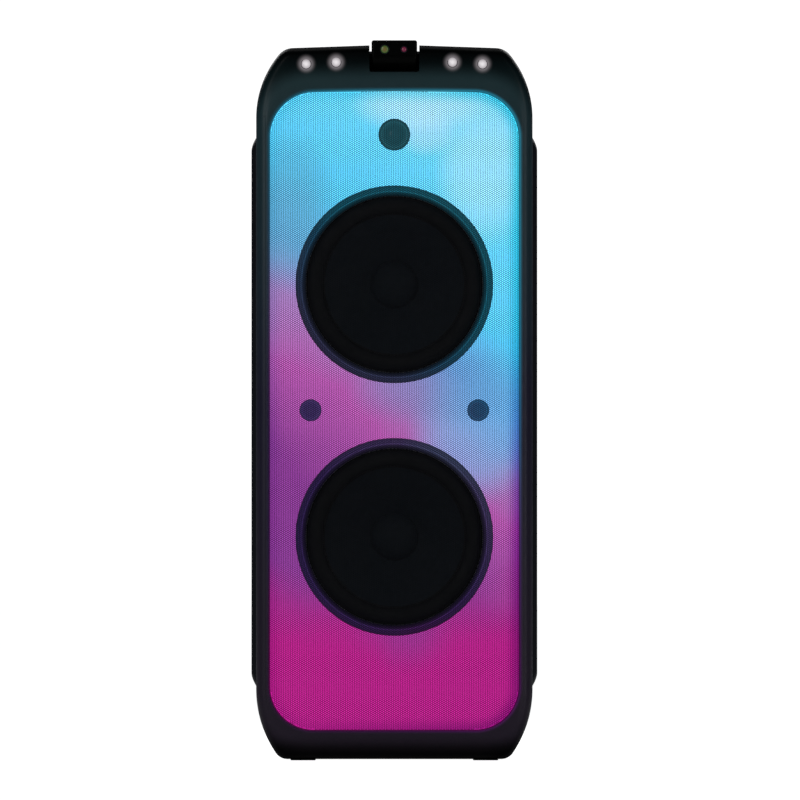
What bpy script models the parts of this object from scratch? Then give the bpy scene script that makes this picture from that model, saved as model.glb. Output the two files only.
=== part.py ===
"""Floor-standing party speaker: two woofers and three tweeters behind a perforated grille that a light panel
shines through. The cabinet has a laser head, strobe lights, a control panel, a trolley handle and wheels.

Metres, +Z up, the front faces -Y, and the origin is on the floor under the middle of the speaker.
Run it with: blender --background --python part.py
"""

import math

import bmesh
import bpy
from mathutils import Vector

# Overall sizes. Everything else is placed from these.
HALF_WIDTH = 0.1756  # front bezel, side to middle
BEZEL_BOTTOM = 0.0016
BEZEL_TOP = 0.9095
GAP = 0.0003  # between pieces that touch

# Planes along Y, from the front to the back.
GRILLE_FRONT = -0.175
BEZEL_FRONT = -0.170
GRILLE_BACK = -0.160
FRAME_BACK = -0.152  # back of the bezel's front frame, and seat of the light panel
LIGHT_BOARD_FRONT = -0.1275
BAFFLE_FRONT = -0.120
BAFFLE_BACK = -0.105
BEZEL_BACK = -0.098
SHELL_BACK = 0.150
REAR_FACE = 0.158

# Outline of the bezel: each corner is a long arc that leaves the side, then a short one that joins the top
# or the bottom.
TOP_LONG_RADIUS = 0.126
BOTTOM_LONG_RADIUS = 0.145
SHORT_RADIUS = 0.024
BOTTOM_SHORT_RADIUS = 0.018
TOP_SWEEP = math.radians(39.4)
BOTTOM_SWEEP = math.radians(34.0)
CROWN = math.radians(2.0)  # slope of the top edge, which rises to the middle
LONG_STEPS = 6
SHORT_STEPS = 4

# Opening of the bezel, which the grille fills.
OPENING_HALF_WIDTH = 0.1594
OPENING_BOTTOM = 0.0375
OPENING_TOP = 0.8515
OPENING_RADIUS = 0.057
BEZEL_WALL = 0.005
SKIRT_FIT = 0.0006  # clearance of the bezel's skirt around the cabinet
DIFFUSER_LAP = 0.004  # how far the light panel reaches behind the bezel
DIFFUSER_THICK = 0.0027
LIGHT_BOARD_THICK = 0.0016
SHEET_STEEL = 0.0012
GRILLE_FIT = 0.0008  # clearance of the grille in the opening

# Cabinet behind the bezel.
CABINET_HALF_WIDTH = 0.1695
CABINET_BOTTOM = 0.009
CABINET_TOP = 0.889
CABINET_WALL = 0.009
CABINET_SHRINK = 0.006  # how much tighter its corner arcs are than the bezel's

# Drivers.
WOOFER_HEIGHTS = {"upper": 0.6048, "lower": 0.2838}
WOOFER_WINDOW = 0.1256  # radius of the hole in the light panel
WOOFER_CUTOUT = 0.1170  # radius of the hole in the baffle
FLANGE_RADIUS = 0.1245
FLANGE_THICK = 0.0050
CONE_RADIUS = 0.0900
SURROUND_RADIUS = 0.1102
SURROUND_HEIGHT = 0.0054
SURROUND_SKIN = 0.0012
COIL_INSIDE = 0.0247
COIL_OUTSIDE = 0.0258
COIL_LENGTH = 0.052
POLE_RADIUS = 0.0235
TOP_PLATE_INSIDE = 0.0270
MAGNET_RADIUS = 0.0700
MAGNET_TOP = -0.0783
MAGNET_BOTTOM = -0.1140
TWEETER_HEIGHT = 0.7950
TWEETER_MOUTH = 0.0203
TWEETER_DOME = 0.0125
SIDE_TWEETER_HEIGHT = 0.4448
SIDE_TWEETER_OUT = 0.1065
SIDE_TWEETER_MOUTH = 0.0140
SIDE_TWEETER_DOME = 0.0080
TWEETER_DEPTH = 0.0200  # behind the front of the baffle

# Laser head and the notch that it stands in.
NOTCH_HALF_WIDTH = 0.0317
NOTCH_BOTTOM = 0.8745
CHEEK = 0.0113
LASER_HALF_WIDTH = 0.02895
LASER_TOP = 0.9148
LASER_PIVOT = Vector((0.0, -0.146, 0.8955))
LASER_ROUND = 0.019
LASER_PIN_RADIUS = 0.003
LASER_PIN_END = 0.0035  # how far the pin goes into each cheek
LASER_SPACING = 0.0123
LASER_LENS_RISE = 0.0077
LASER_LENS_RADIUS = 0.0042
LASER_WINDOW_HALF_WIDTH = 0.026

# Strobe lights: distance from the middle and height of each.
STROBES = ((-0.1120, 0.8846), (-0.0739, 0.8868), (0.0739, 0.8868), (0.1120, 0.8846))
STROBE_RADIUS = 0.0063

# Control panel.
DECK_TOP = 0.900
DECK_HALF_WIDTH = 0.135
DECK_FRONT = -0.0975
DECK_REAR = 0.106
KEYS = ("source", "previous", "play", "next", "light")
KEY_ROW = -0.035
KEY_PITCH = 0.036
KEY_SIZE = (0.022, 0.014)
KEY_PROUD = 0.002
KEY_CLEARANCE = 0.0006
VOLUME_PLACE = (0.0, 0.030)
VOLUME_SIZE = (0.026, 0.0115)  # radius and height
MIC_PLACE = (0.075, 0.030)
MIC_SIZE = (0.012, 0.0060)
KNOB_SHAFT = 0.003
POWER_PLACE = (-0.075, 0.030)
POWER_RADIUS = 0.011
DISPLAY_MIDDLE = -0.072
DISPLAY_SIZE = (0.0694, 0.0234)

# Trolley handle in its pocket, and the wheel bay.
POCKET_HALF_WIDTH = 0.105
POCKET_FRONT = 0.112
POCKET_FLOOR = 0.832
POCKET_WALL = 0.003
POCKET_LIP = 0.0012  # how far the side walls of the pocket stand above the cabinet
POCKET_TURN = 0.004  # how far its front wall turns round the corners at full height
GRIP_SIZE = (0.196, 0.026, 0.024)
GRIP_MIDDLE = Vector((0.0, 0.135, 0.878))
TUBE_OUT = 0.085
TUBE_RADIUS = 0.007
TUBE_WALL = 0.0012
TUBE_FIT = 0.0005
SLEEVE_WALL = 0.0020
SLEEVE_BOTTOM = 0.400
BAY_FRONT = 0.084
BAY_TOP = 0.087
BAY_PLATE = 0.004
BAY_HALF_WIDTH = 0.168
AXLE = Vector((0.0, 0.133, 0.042))
AXLE_RADIUS = 0.005
WHEEL_RADIUS = 0.042
WHEEL_IN = 0.104
WHEEL_WIDTH = 0.030
HUB_RADIUS = 0.030
LUG_OUT = 0.086
LUG_THICK = 0.010
LUG_HALF = 0.012

# Rear fittings.
PORT_HEIGHT = 0.700
PORT_RADIUS = 0.032
PORT_WALL = 0.003
PORT_FLANGE = 0.046
PORT_LENGTH = 0.120
COVER_LAP = 0.008  # how far the amplifier plate and the battery door overlap their holes
AMP_HALF_WIDTH = 0.095
AMP_BOTTOM = 0.340
AMP_TOP = 0.520
AMP_THICK = 0.003
JACKS = (-0.060, -0.030)
JACK_HEIGHT = 0.480
JACK_RADIUS = 0.0033
JACK_BOSS = 0.0075
JACK_FLOOR = 0.140
USB_PLACE = (0.010, 0.480)
USB_SIZE = (0.0124, 0.0050)
USB_WALL = 0.0028
USB_FLOOR = 0.1445
INLET_PLACE = (0.060, 0.370)
INLET_SIZE = (0.028, 0.020)
INLET_RECESS = (0.021, 0.010)
INLET_FRONT = 0.141
SWITCH_PLACE = (0.020, 0.370)
SWITCH_HOLE = (0.0144, 0.0192)
ROCKER_TILT = math.radians(10)
DOOR_HALF_WIDTH = 0.085
DOOR_BOTTOM = 0.125
DOOR_TOP = 0.240
COVER_FRONT = 0.0027  # how far the covers stand behind the rear panel, past the gap

# Boards, supply and battery inside.
BOARD_HALF_WIDTH = 0.080
BOARD_BOTTOM = 0.352
BOARD_TOP = 0.508
BOARD_FRONT = 0.112
BOARD_THICK = 0.0016
HEAT_SINK_FRONT = 0.085
SUPPLY_SIZE = (0.120, 0.080, 0.050)
CELLS_HALF_WIDTH = 0.0755

# Front feet.
FOOT_PLACE = (0.116, -0.138)
FOOT_SIZE = (0.032, 0.040)

# Side pads.
PAD_OUT = 0.1818
PAD_STEP = 0.1753  # where the pad's chamfer starts
PAD_BOTTOM = 0.093
PAD_TOP = 0.7925
PAD_CHAMFER = 0.017
PAD_REAR = 0.120

COLOURS = {
    "shell": ((0.016, 0.018, 0.022), 0.45, 0.0),
    "bezel": ((0.020, 0.024, 0.028), 0.30, 0.0),
    "mesh": ((0.03, 0.03, 0.035), 0.45, 0.6),
    "light": ((0.55, 0.60, 0.85), 0.40, 0.0),
    "board": ((0.02, 0.12, 0.06), 0.50, 0.0),
    "rubber": ((0.015, 0.015, 0.016), 0.80, 0.0),
    "cone": ((0.020, 0.020, 0.022), 0.70, 0.0),
    "wood": ((0.25, 0.18, 0.11), 0.75, 0.0),
    "steel": ((0.35, 0.35, 0.36), 0.35, 1.0),
    "chrome": ((0.65, 0.66, 0.68), 0.15, 1.0),
    "gloss": ((0.010, 0.010, 0.012), 0.12, 0.0),
    "lens": ((0.90, 0.90, 0.95), 0.10, 0.0),
    "green": ((0.15, 0.55, 0.08), 0.10, 0.0),
    "red": ((0.60, 0.02, 0.08), 0.10, 0.0),
    "knob": ((0.045, 0.047, 0.052), 0.35, 0.0),
    "cell": ((0.05, 0.09, 0.20), 0.50, 0.0),
}


# ---------------------------------------------------------------- scene set-up


def clear_scene():
    """Removes the startup objects and makes the collections for the parts and for their cutters."""
    for thing in list(bpy.data.objects):
        bpy.data.objects.remove(thing)
    for name in ("party_speaker", "cutters"):
        collection = bpy.data.collections.new(name)
        bpy.context.scene.collection.children.link(collection)


def material_for(name, finish):
    """A material of the part's own, in one of the finishes of COLOURS."""
    colour, roughness, metallic = COLOURS[finish]
    made = bpy.data.materials.new(name)
    made.use_nodes = True
    shader = made.node_tree.nodes["Principled BSDF"]
    shader.inputs["Base Color"].default_value = (*colour, 1.0)
    shader.inputs["Roughness"].default_value = roughness
    shader.inputs["Metallic"].default_value = metallic
    made.diffuse_color = (*colour, 1.0)
    return made


def add_object(name, data, finish=None):
    """Links a new object. One without a finish is a cutter or a helper, and isn't part of the speaker."""
    thing = bpy.data.objects.new(name, data)
    if finish is None:
        thing.hide_render = True
        thing.display_type = "WIRE"
        bpy.data.collections["cutters"].objects.link(thing)
    else:
        data.materials.append(material_for(name, finish))
        bpy.data.collections["party_speaker"].objects.link(thing)
    return thing


def pivot_at(name, place):
    """An empty on a joint's axis, for the pieces that move together on it."""
    pivot = add_object(name, None)
    pivot.location = place
    return pivot


def mesh_from(bm, name):
    """Turns a bmesh into a mesh with its faces pointing out, shaded smooth up to 35 degrees."""
    bmesh.ops.recalc_face_normals(bm, faces=bm.faces)
    mesh = bpy.data.meshes.new(name)
    bm.to_mesh(mesh)
    bm.free()
    mesh.shade_smooth()
    mesh.set_sharp_from_angle(angle=math.radians(35))
    return mesh


def combine(target, tool, operation="DIFFERENCE"):
    """Cuts the tool from the target, or joins it on with UNION."""
    modifier = target.modifiers.new(tool.name, "BOOLEAN")
    modifier.operation = operation
    modifier.object = tool
    return target


# ---------------------------------------------------------------- basic shapes


def box(name, low, high, finish=None, bevel=0.0):
    """A box between two corners, with its edges rounded if a bevel is given."""
    low, high = Vector(low), Vector(high)
    bm = bmesh.new()
    bmesh.ops.create_cube(bm, size=1.0)
    bmesh.ops.scale(bm, vec=high - low, verts=bm.verts)
    thing = add_object(name, mesh_from(bm, name), finish)
    thing.location = (low + high) / 2
    if bevel:
        modifier = thing.modifiers.new("rounding", "BEVEL")
        modifier.width = bevel
        modifier.segments = 2
    return thing


def rod(name, radius, start, end, finish=None, segments=24):
    """A round rod between two points."""
    start, end = Vector(start), Vector(end)
    bm = bmesh.new()
    bmesh.ops.create_cone(
        bm,
        cap_ends=True,
        segments=segments,
        radius1=radius,
        radius2=radius,
        depth=(end - start).length,
    )
    thing = add_object(name, mesh_from(bm, name), finish)
    thing.location = (start + end) / 2
    thing.rotation_euler = (end - start).to_track_quat("Z", "Y").to_euler()
    return thing


def turned(name, profile, place, direction, finish=None, segments=32, closed=False):
    """A turned piece. The profile holds (radius, height) pairs and runs down its outer side, and closed joins
    its ends. Its axis starts at place and points along direction."""
    mesh = bpy.data.meshes.new(name)
    points = [(radius, 0.0, height) for radius, height in profile]
    edges = [(i, i + 1) for i in range(len(points) - 1)]
    if closed:
        edges.append((len(points) - 1, 0))
    mesh.from_pydata(points, edges, [])
    thing = add_object(name, mesh, finish)
    screw = thing.modifiers.new("turning", "SCREW")
    screw.axis = "Z"
    screw.angle = 2 * math.pi
    screw.steps = segments
    screw.render_steps = segments
    screw.use_merge_vertices = True
    screw.merge_threshold = 0.00001
    screw.use_smooth_shade = True
    thing.location = place
    thing.rotation_euler = Vector(direction).to_track_quat("Z", "Y").to_euler()
    return thing


def prism(name, outline, axis, start, end, finish=None):
    """A flat outline drawn across the X or the Y axis and thickened from start to end along it."""
    if axis == "X":
        sections = [[(along, y, z) for y, z in outline] for along in (start, end)]
    else:
        sections = [at_y(outline, along) for along in (start, end)]
    return loft(name, sections, finish)


def pierced_sheet(name, outlines, front, back, finish):
    """A flat sheet across X and Z. The first outline is its rim and the others are holes."""
    curve = bpy.data.curves.new(name, "CURVE")
    curve.dimensions = "2D"
    curve.fill_mode = "BOTH"
    curve.extrude = (back - front) / 2
    for outline in outlines:
        spline = curve.splines.new("POLY")
        spline.points.add(len(outline) - 1)
        for point, (across, up) in zip(spline.points, outline):
            point.co = (across, up, 0.0, 1.0)
        spline.use_cyclic_u = True
    drawn = bpy.data.objects.new(name, curve)
    bpy.context.scene.collection.objects.link(drawn)
    graph = bpy.context.evaluated_depsgraph_get()
    bm = bmesh.new()
    bm.from_mesh(bpy.data.meshes.new_from_object(drawn.evaluated_get(graph)))
    bpy.data.objects.remove(drawn)
    bmesh.ops.remove_doubles(bm, verts=bm.verts, dist=0.00001)
    sheet = add_object(name, mesh_from(bm, name), finish)
    sheet.rotation_euler.x = math.pi / 2
    sheet.location.y = (front + back) / 2
    return sheet


def loft(name, sections, finish=None, closed=False):
    """A skin through sections of equal point count, capped at both ends unless closed joins last and first."""
    bm = bmesh.new()
    rings = [[bm.verts.new(point) for point in section] for section in sections]
    pairs = list(zip(rings, rings[1:]))
    if closed:
        pairs.append((rings[-1], rings[0]))
    else:
        bm.faces.new(rings[0])
        bm.faces.new(rings[-1])
    for near, far in pairs:
        for i in range(len(near)):
            j = (i + 1) % len(near)
            bm.faces.new((near[i], near[j], far[j], far[i]))
    bmesh.ops.triangulate(bm, faces=bm.faces)  # a twisted face can't be cut cleanly
    return add_object(name, mesh_from(bm, name), finish)


# ---------------------------------------------------------------- outlines


def arc(centre, radius, start, end, steps):
    """Points on an arc, both ends included."""
    return [
        (
            centre[0] + radius * math.cos(start + (end - start) * i / steps),
            centre[1] + radius * math.sin(start + (end - start) * i / steps),
        )
        for i in range(steps + 1)
    ]


def corner(half_width, edge, sign, long_radius, short_radius, sweep, finish, inset):
    """One corner of an outline from the side to the top (sign 1) or the bottom (sign -1), moved in by inset."""
    long_centre = (
        half_width - long_radius,
        -(long_radius - short_radius) * math.sin(sweep) - short_radius * math.sin(finish),
    )
    short_centre = (
        long_centre[0] + (long_radius - short_radius) * math.cos(sweep),
        long_centre[1] + (long_radius - short_radius) * math.sin(sweep),
    )
    points = arc(long_centre, long_radius - inset, 0.0, sweep, LONG_STEPS)
    points += arc(short_centre, short_radius - inset, sweep, finish, SHORT_STEPS)[1:]
    return [(x, edge + sign * z) for x, z in points]


def around(upper, top, lower, bottom):
    """The whole outline from its right-hand corners, with a point at the middle of the top and of the bottom."""
    points = upper + [(0.0, top)]
    points += [(-x, z) for x, z in reversed(upper)]
    points += [(-x, z) for x, z in lower]
    return points + [(0.0, bottom)] + list(reversed(lower))


def bezel_outline(inset=0.0):
    """Outline of the bezel across X and Z."""
    reach = HALF_WIDTH - TOP_LONG_RADIUS + (TOP_LONG_RADIUS - SHORT_RADIUS) * math.cos(TOP_SWEEP)
    shoulder = BEZEL_TOP - reach * math.tan(CROWN)
    upper = corner(
        HALF_WIDTH, shoulder, 1, TOP_LONG_RADIUS, SHORT_RADIUS, TOP_SWEEP, math.pi / 2 - CROWN, inset
    )
    lower = corner(
        HALF_WIDTH, BEZEL_BOTTOM, -1, BOTTOM_LONG_RADIUS, BOTTOM_SHORT_RADIUS, BOTTOM_SWEEP, math.pi / 2, inset
    )
    return around(upper, BEZEL_TOP - inset, lower, BEZEL_BOTTOM + inset)


def cabinet_outline(inset=0.0):
    """Outline of the cabinet across X and Z."""
    short = SHORT_RADIUS - CABINET_SHRINK
    upper = corner(
        CABINET_HALF_WIDTH,
        CABINET_TOP,
        1,
        TOP_LONG_RADIUS - CABINET_SHRINK,
        short,
        TOP_SWEEP,
        math.pi / 2,
        inset,
    )
    lower = corner(
        CABINET_HALF_WIDTH,
        CABINET_BOTTOM,
        -1,
        BOTTOM_LONG_RADIUS - CABINET_SHRINK,
        short,
        BOTTOM_SWEEP,
        math.pi / 2,
        inset,
    )
    return around(upper, CABINET_TOP - inset, lower, CABINET_BOTTOM + inset)


def opening_outline(inset=0.0):
    """Outline of the bezel's opening across X and Z, with as many points as the bezel's own."""
    steps = LONG_STEPS + SHORT_STEPS
    radius = OPENING_RADIUS - inset
    middle = OPENING_HALF_WIDTH - OPENING_RADIUS
    upper = arc((middle, OPENING_TOP - OPENING_RADIUS), radius, 0.0, math.pi / 2, steps)
    lower = arc((middle, OPENING_BOTTOM + OPENING_RADIUS), radius, 0.0, -math.pi / 2, steps)
    return around(upper, OPENING_TOP - inset, lower, OPENING_BOTTOM + inset)


def circle(centre, radius, segments=40):
    """A round outline."""
    return arc(centre, radius, 0.0, 2 * math.pi, segments)[:-1]


def at_y(outline, y):
    """An outline across X and Z, as points in space."""
    return [(x, y, z) for x, z in outline]


# ---------------------------------------------------------------- front


def build_bezel():
    """Front frame with a skirt that wraps the cabinet, a notch for the laser head and holes for the strobes."""
    sections = [
        at_y(bezel_outline(), BEZEL_BACK),
        at_y(bezel_outline(), BEZEL_FRONT + 0.014),
        at_y(bezel_outline(0.0025), BEZEL_FRONT + 0.005),
        at_y(bezel_outline(0.009), BEZEL_FRONT),
        at_y(opening_outline(), BEZEL_FRONT),
        at_y(opening_outline(), FRAME_BACK),
        at_y(bezel_outline(BEZEL_WALL), FRAME_BACK),
        at_y(bezel_outline(BEZEL_WALL), BAFFLE_FRONT - 0.008),
        at_y(cabinet_outline(-SKIRT_FIT), BAFFLE_FRONT - 0.0015),
        at_y(cabinet_outline(-SKIRT_FIT), BEZEL_BACK),
    ]
    bezel = loft("front_bezel", sections, "bezel", closed=True)
    seat_half = NOTCH_HALF_WIDTH + CHEEK
    seat = box(
        "laser_seat",
        (-seat_half, FRAME_BACK - 0.004, NOTCH_BOTTOM - 0.007),
        (seat_half, BAFFLE_FRONT - 0.001, BEZEL_TOP - 0.0035),
    )
    combine(bezel, seat, "UNION")
    notch = box(
        "laser_notch",
        (-NOTCH_HALF_WIDTH, BEZEL_FRONT - 0.01, NOTCH_BOTTOM),
        (NOTCH_HALF_WIDTH, BEZEL_BACK + 0.01, BEZEL_TOP + 0.02),
    )
    combine(bezel, notch)
    pin_reach = NOTCH_HALF_WIDTH + LASER_PIN_END + 0.001
    pivot_y, pivot_z = LASER_PIVOT.y, LASER_PIVOT.z
    pin_hole = rod(
        "laser_pin_hole",
        LASER_PIN_RADIUS + 0.0005,
        (-pin_reach, pivot_y, pivot_z),
        (pin_reach, pivot_y, pivot_z),
        segments=16,
    )
    combine(bezel, pin_hole)
    for number, (x, z) in enumerate(STROBES, 1):
        hole = rod(
            f"strobe_hole_{number}",
            STROBE_RADIUS + 0.0003,
            (x, BEZEL_FRONT - 0.01, z),
            (x, FRAME_BACK + 0.01, z),
        )
        combine(bezel, hole)
        rod(
            f"strobe_lens_{number}",
            STROBE_RADIUS,
            (x, BEZEL_FRONT + 0.001, z),
            (x, FRAME_BACK - 0.002, z),
            "lens",
        )


def build_grille():
    """Grille sheet: a shallow pan with rolled edges. Its perforations are finer than this model goes."""
    roll = [(0.0, 0.0060), (0.0015, 0.0022), (0.0055, 0.0)]
    outside = [(GRILLE_FIT, GRILLE_BACK)]
    outside += [(GRILLE_FIT + inset, GRILLE_FRONT + back) for inset, back in roll]
    inside = [(inset + SHEET_STEEL, y + SHEET_STEEL) for inset, y in reversed(outside[1:])]
    inside.append((GRILLE_FIT + SHEET_STEEL, GRILLE_BACK))
    sections = [at_y(opening_outline(inset), y) for inset, y in reversed(outside)]
    sections += [at_y(opening_outline(inset), y) for inset, y in reversed(inside)]
    loft("grille", sections, "mesh")


def window_outlines(margin):
    """The five round windows of the light panel, each made larger by margin."""
    windows = [circle((0.0, z), WOOFER_WINDOW + margin) for z in WOOFER_HEIGHTS.values()]
    windows.append(circle((0.0, TWEETER_HEIGHT), TWEETER_MOUTH + margin, 24))
    for side in (-1, 1):
        place = (side * SIDE_TWEETER_OUT, SIDE_TWEETER_HEIGHT)
        windows.append(circle(place, SIDE_TWEETER_MOUTH + margin, 24))
    return windows


def build_light_panel():
    """Diffuser behind the grille, and the board that carries its lights."""
    front = FRAME_BACK + GAP
    diffuser = [opening_outline(-DIFFUSER_LAP)] + window_outlines(0.0)
    pierced_sheet("light_panel", diffuser, front, front + DIFFUSER_THICK, "light")
    front = LIGHT_BOARD_FRONT
    board = [opening_outline(0.004)] + window_outlines(0.0015)
    pierced_sheet("light_board", board, front, front + LIGHT_BOARD_THICK, "board")


# ---------------------------------------------------------------- drivers


def build_woofer(which, height):
    """Woofer on the front of the baffle: basket, magnet, surround, cone with cap and coil, and a trim ring.
    Heights in the profiles run forward from the front of the baffle."""
    place = (0.0, BAFFLE_FRONT, height)
    forward = (0.0, -1.0, 0.0)
    basket = [
        (FLANGE_RADIUS, FLANGE_THICK),
        (FLANGE_RADIUS, GAP),
        (WOOFER_CUTOUT - 0.0015, GAP),
        (WOOFER_CUTOUT - 0.0015, -0.0080),
        (0.0640, -0.0720),
        (0.0640, MAGNET_TOP + GAP),
        (0.0285, MAGNET_TOP + GAP),
        (0.0285, -0.0755),
        (0.0600, -0.0700),
        (0.1075, -0.0080),
        (0.1075, FLANGE_THICK),
    ]
    turned(f"woofer_{which}_basket", basket, place, forward, "steel", segments=24, closed=True)
    top_plate, ring_back = -0.0860, -0.1060
    magnet = [
        (0.0, MAGNET_TOP + 0.0013),
        (POLE_RADIUS, MAGNET_TOP + 0.0013),
        (POLE_RADIUS, -0.1080),
        (0.0320, -0.1080),
        (0.0320, top_plate),
        (TOP_PLATE_INSIDE, top_plate),
        (TOP_PLATE_INSIDE, MAGNET_TOP),
        (0.0620, MAGNET_TOP),
        (0.0620, top_plate),
        (MAGNET_RADIUS, top_plate),
        (MAGNET_RADIUS, ring_back),
        (0.0640, MAGNET_BOTTOM),
        (0.0, MAGNET_BOTTOM),
    ]
    turned(f"woofer_{which}_magnet", magnet, place, forward, "steel", segments=20)
    roll_in = CONE_RADIUS + 0.0002
    middle, roll = (SURROUND_RADIUS + roll_in) / 2, (SURROUND_RADIUS - roll_in) / 2
    surround = arc((middle, SURROUND_HEIGHT), roll, 0.0, math.pi, 4)
    surround = list(reversed(surround))
    surround += arc((middle, SURROUND_HEIGHT), roll - SURROUND_SKIN, 0.0, math.pi, 4)
    turned(f"woofer_{which}_surround", surround, place, forward, "rubber", segments=28, closed=True)
    neck = -0.0400
    cone = [
        (0.0, -0.0200),
        (0.0160, -0.0235),
        (0.0280, -0.0340),
        (CONE_RADIUS, 0.0050),
        (CONE_RADIUS, 0.0032),
        (0.0300, -0.0372),
        (COIL_OUTSIDE, neck),
        (COIL_OUTSIDE, neck - COIL_LENGTH),
        (COIL_INSIDE, neck - COIL_LENGTH),
        (COIL_INSIDE, -0.0375),
        (0.0150, -0.0250),
        (0.0, -0.0215),
    ]
    turned(f"woofer_{which}_cone", cone, place, forward, "cone", segments=24)
    rim = BAFFLE_FRONT - FRAME_BACK - 0.0005
    foot = FLANGE_THICK + GAP
    ring = [
        (WOOFER_WINDOW - 0.0004, rim),
        (WOOFER_WINDOW - 0.0004, foot),
        (SURROUND_RADIUS + 0.0023, foot),
        (SURROUND_RADIUS + 0.0023, 0.0090),
        (WOOFER_WINDOW - 0.0030, rim),
    ]
    turned(f"woofer_{which}_trim_ring", ring, place, forward, "gloss", segments=40, closed=True)


def build_tweeter(name, x, height, mouth, dome):
    """Tweeter with a short horn that reaches forward to its window, a dome, and a magnet behind."""
    rim = BAFFLE_FRONT - FRAME_BACK - 0.0005
    flange = mouth + 0.007
    seat, dome_foot = 0.0040, 0.0090
    profile = [
        (0.0, dome_foot + dome * 0.45),
        (dome * 0.60, dome_foot + dome * 0.30),
        (dome, dome_foot),
        (dome + 0.0010, 0.0080),
        (mouth - 0.0020, rim),
        (mouth - 0.0004, rim),
        (mouth - 0.0004, seat),
        (flange, seat),
        (flange, GAP),
        (mouth, GAP),
        (mouth, -TWEETER_DEPTH),
        (0.0, -TWEETER_DEPTH),
    ]
    turned(name, profile, (x, BAFFLE_FRONT, height), (0.0, -1.0, 0.0), "gloss", segments=20)


def build_drivers():
    for which, height in WOOFER_HEIGHTS.items():
        build_woofer(which, height)
    build_tweeter("tweeter", 0.0, TWEETER_HEIGHT, TWEETER_MOUTH, TWEETER_DOME)
    for name, side in (("side_tweeter_left", -1), ("side_tweeter_right", 1)):
        x = side * SIDE_TWEETER_OUT
        build_tweeter(name, x, SIDE_TWEETER_HEIGHT, SIDE_TWEETER_MOUTH, SIDE_TWEETER_DOME)


# ---------------------------------------------------------------- cabinet


def build_baffle():
    """Board that the drivers are screwed to."""
    margin = 0.001
    holes = [circle((0.0, z), WOOFER_CUTOUT) for z in WOOFER_HEIGHTS.values()]
    holes.append(circle((0.0, TWEETER_HEIGHT), TWEETER_MOUTH + margin, 24))
    for side in (-1, 1):
        place = (side * SIDE_TWEETER_OUT, SIDE_TWEETER_HEIGHT)
        holes.append(circle(place, SIDE_TWEETER_MOUTH + margin, 24))
    pierced_sheet("baffle", [cabinet_outline()] + holes, BAFFLE_FRONT, BAFFLE_BACK, "wood")


def build_shell():
    """Cabinet walls, open at both ends, cut away for the wheel bay and for the handle's pocket."""
    front = BAFFLE_BACK + GAP
    sections = [
        at_y(cabinet_outline(), front),
        at_y(cabinet_outline(), SHELL_BACK),
        at_y(cabinet_outline(CABINET_WALL), SHELL_BACK),
        at_y(cabinet_outline(CABINET_WALL), front),
    ]
    shell = loft("cabinet_shell", sections, "shell", closed=True)
    bay = box("bay_cut", (-0.2, BAY_FRONT, -0.01), (0.2, 0.2, BAY_TOP + BAY_PLATE + GAP))
    combine(shell, bay)
    side = POCKET_HALF_WIDTH + POCKET_WALL + GAP
    pocket_front = POCKET_FRONT - POCKET_WALL - GAP
    pocket = box("pocket_cut", (-side, pocket_front, POCKET_FLOOR), (side, 0.2, 0.95))
    combine(shell, pocket)


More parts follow.
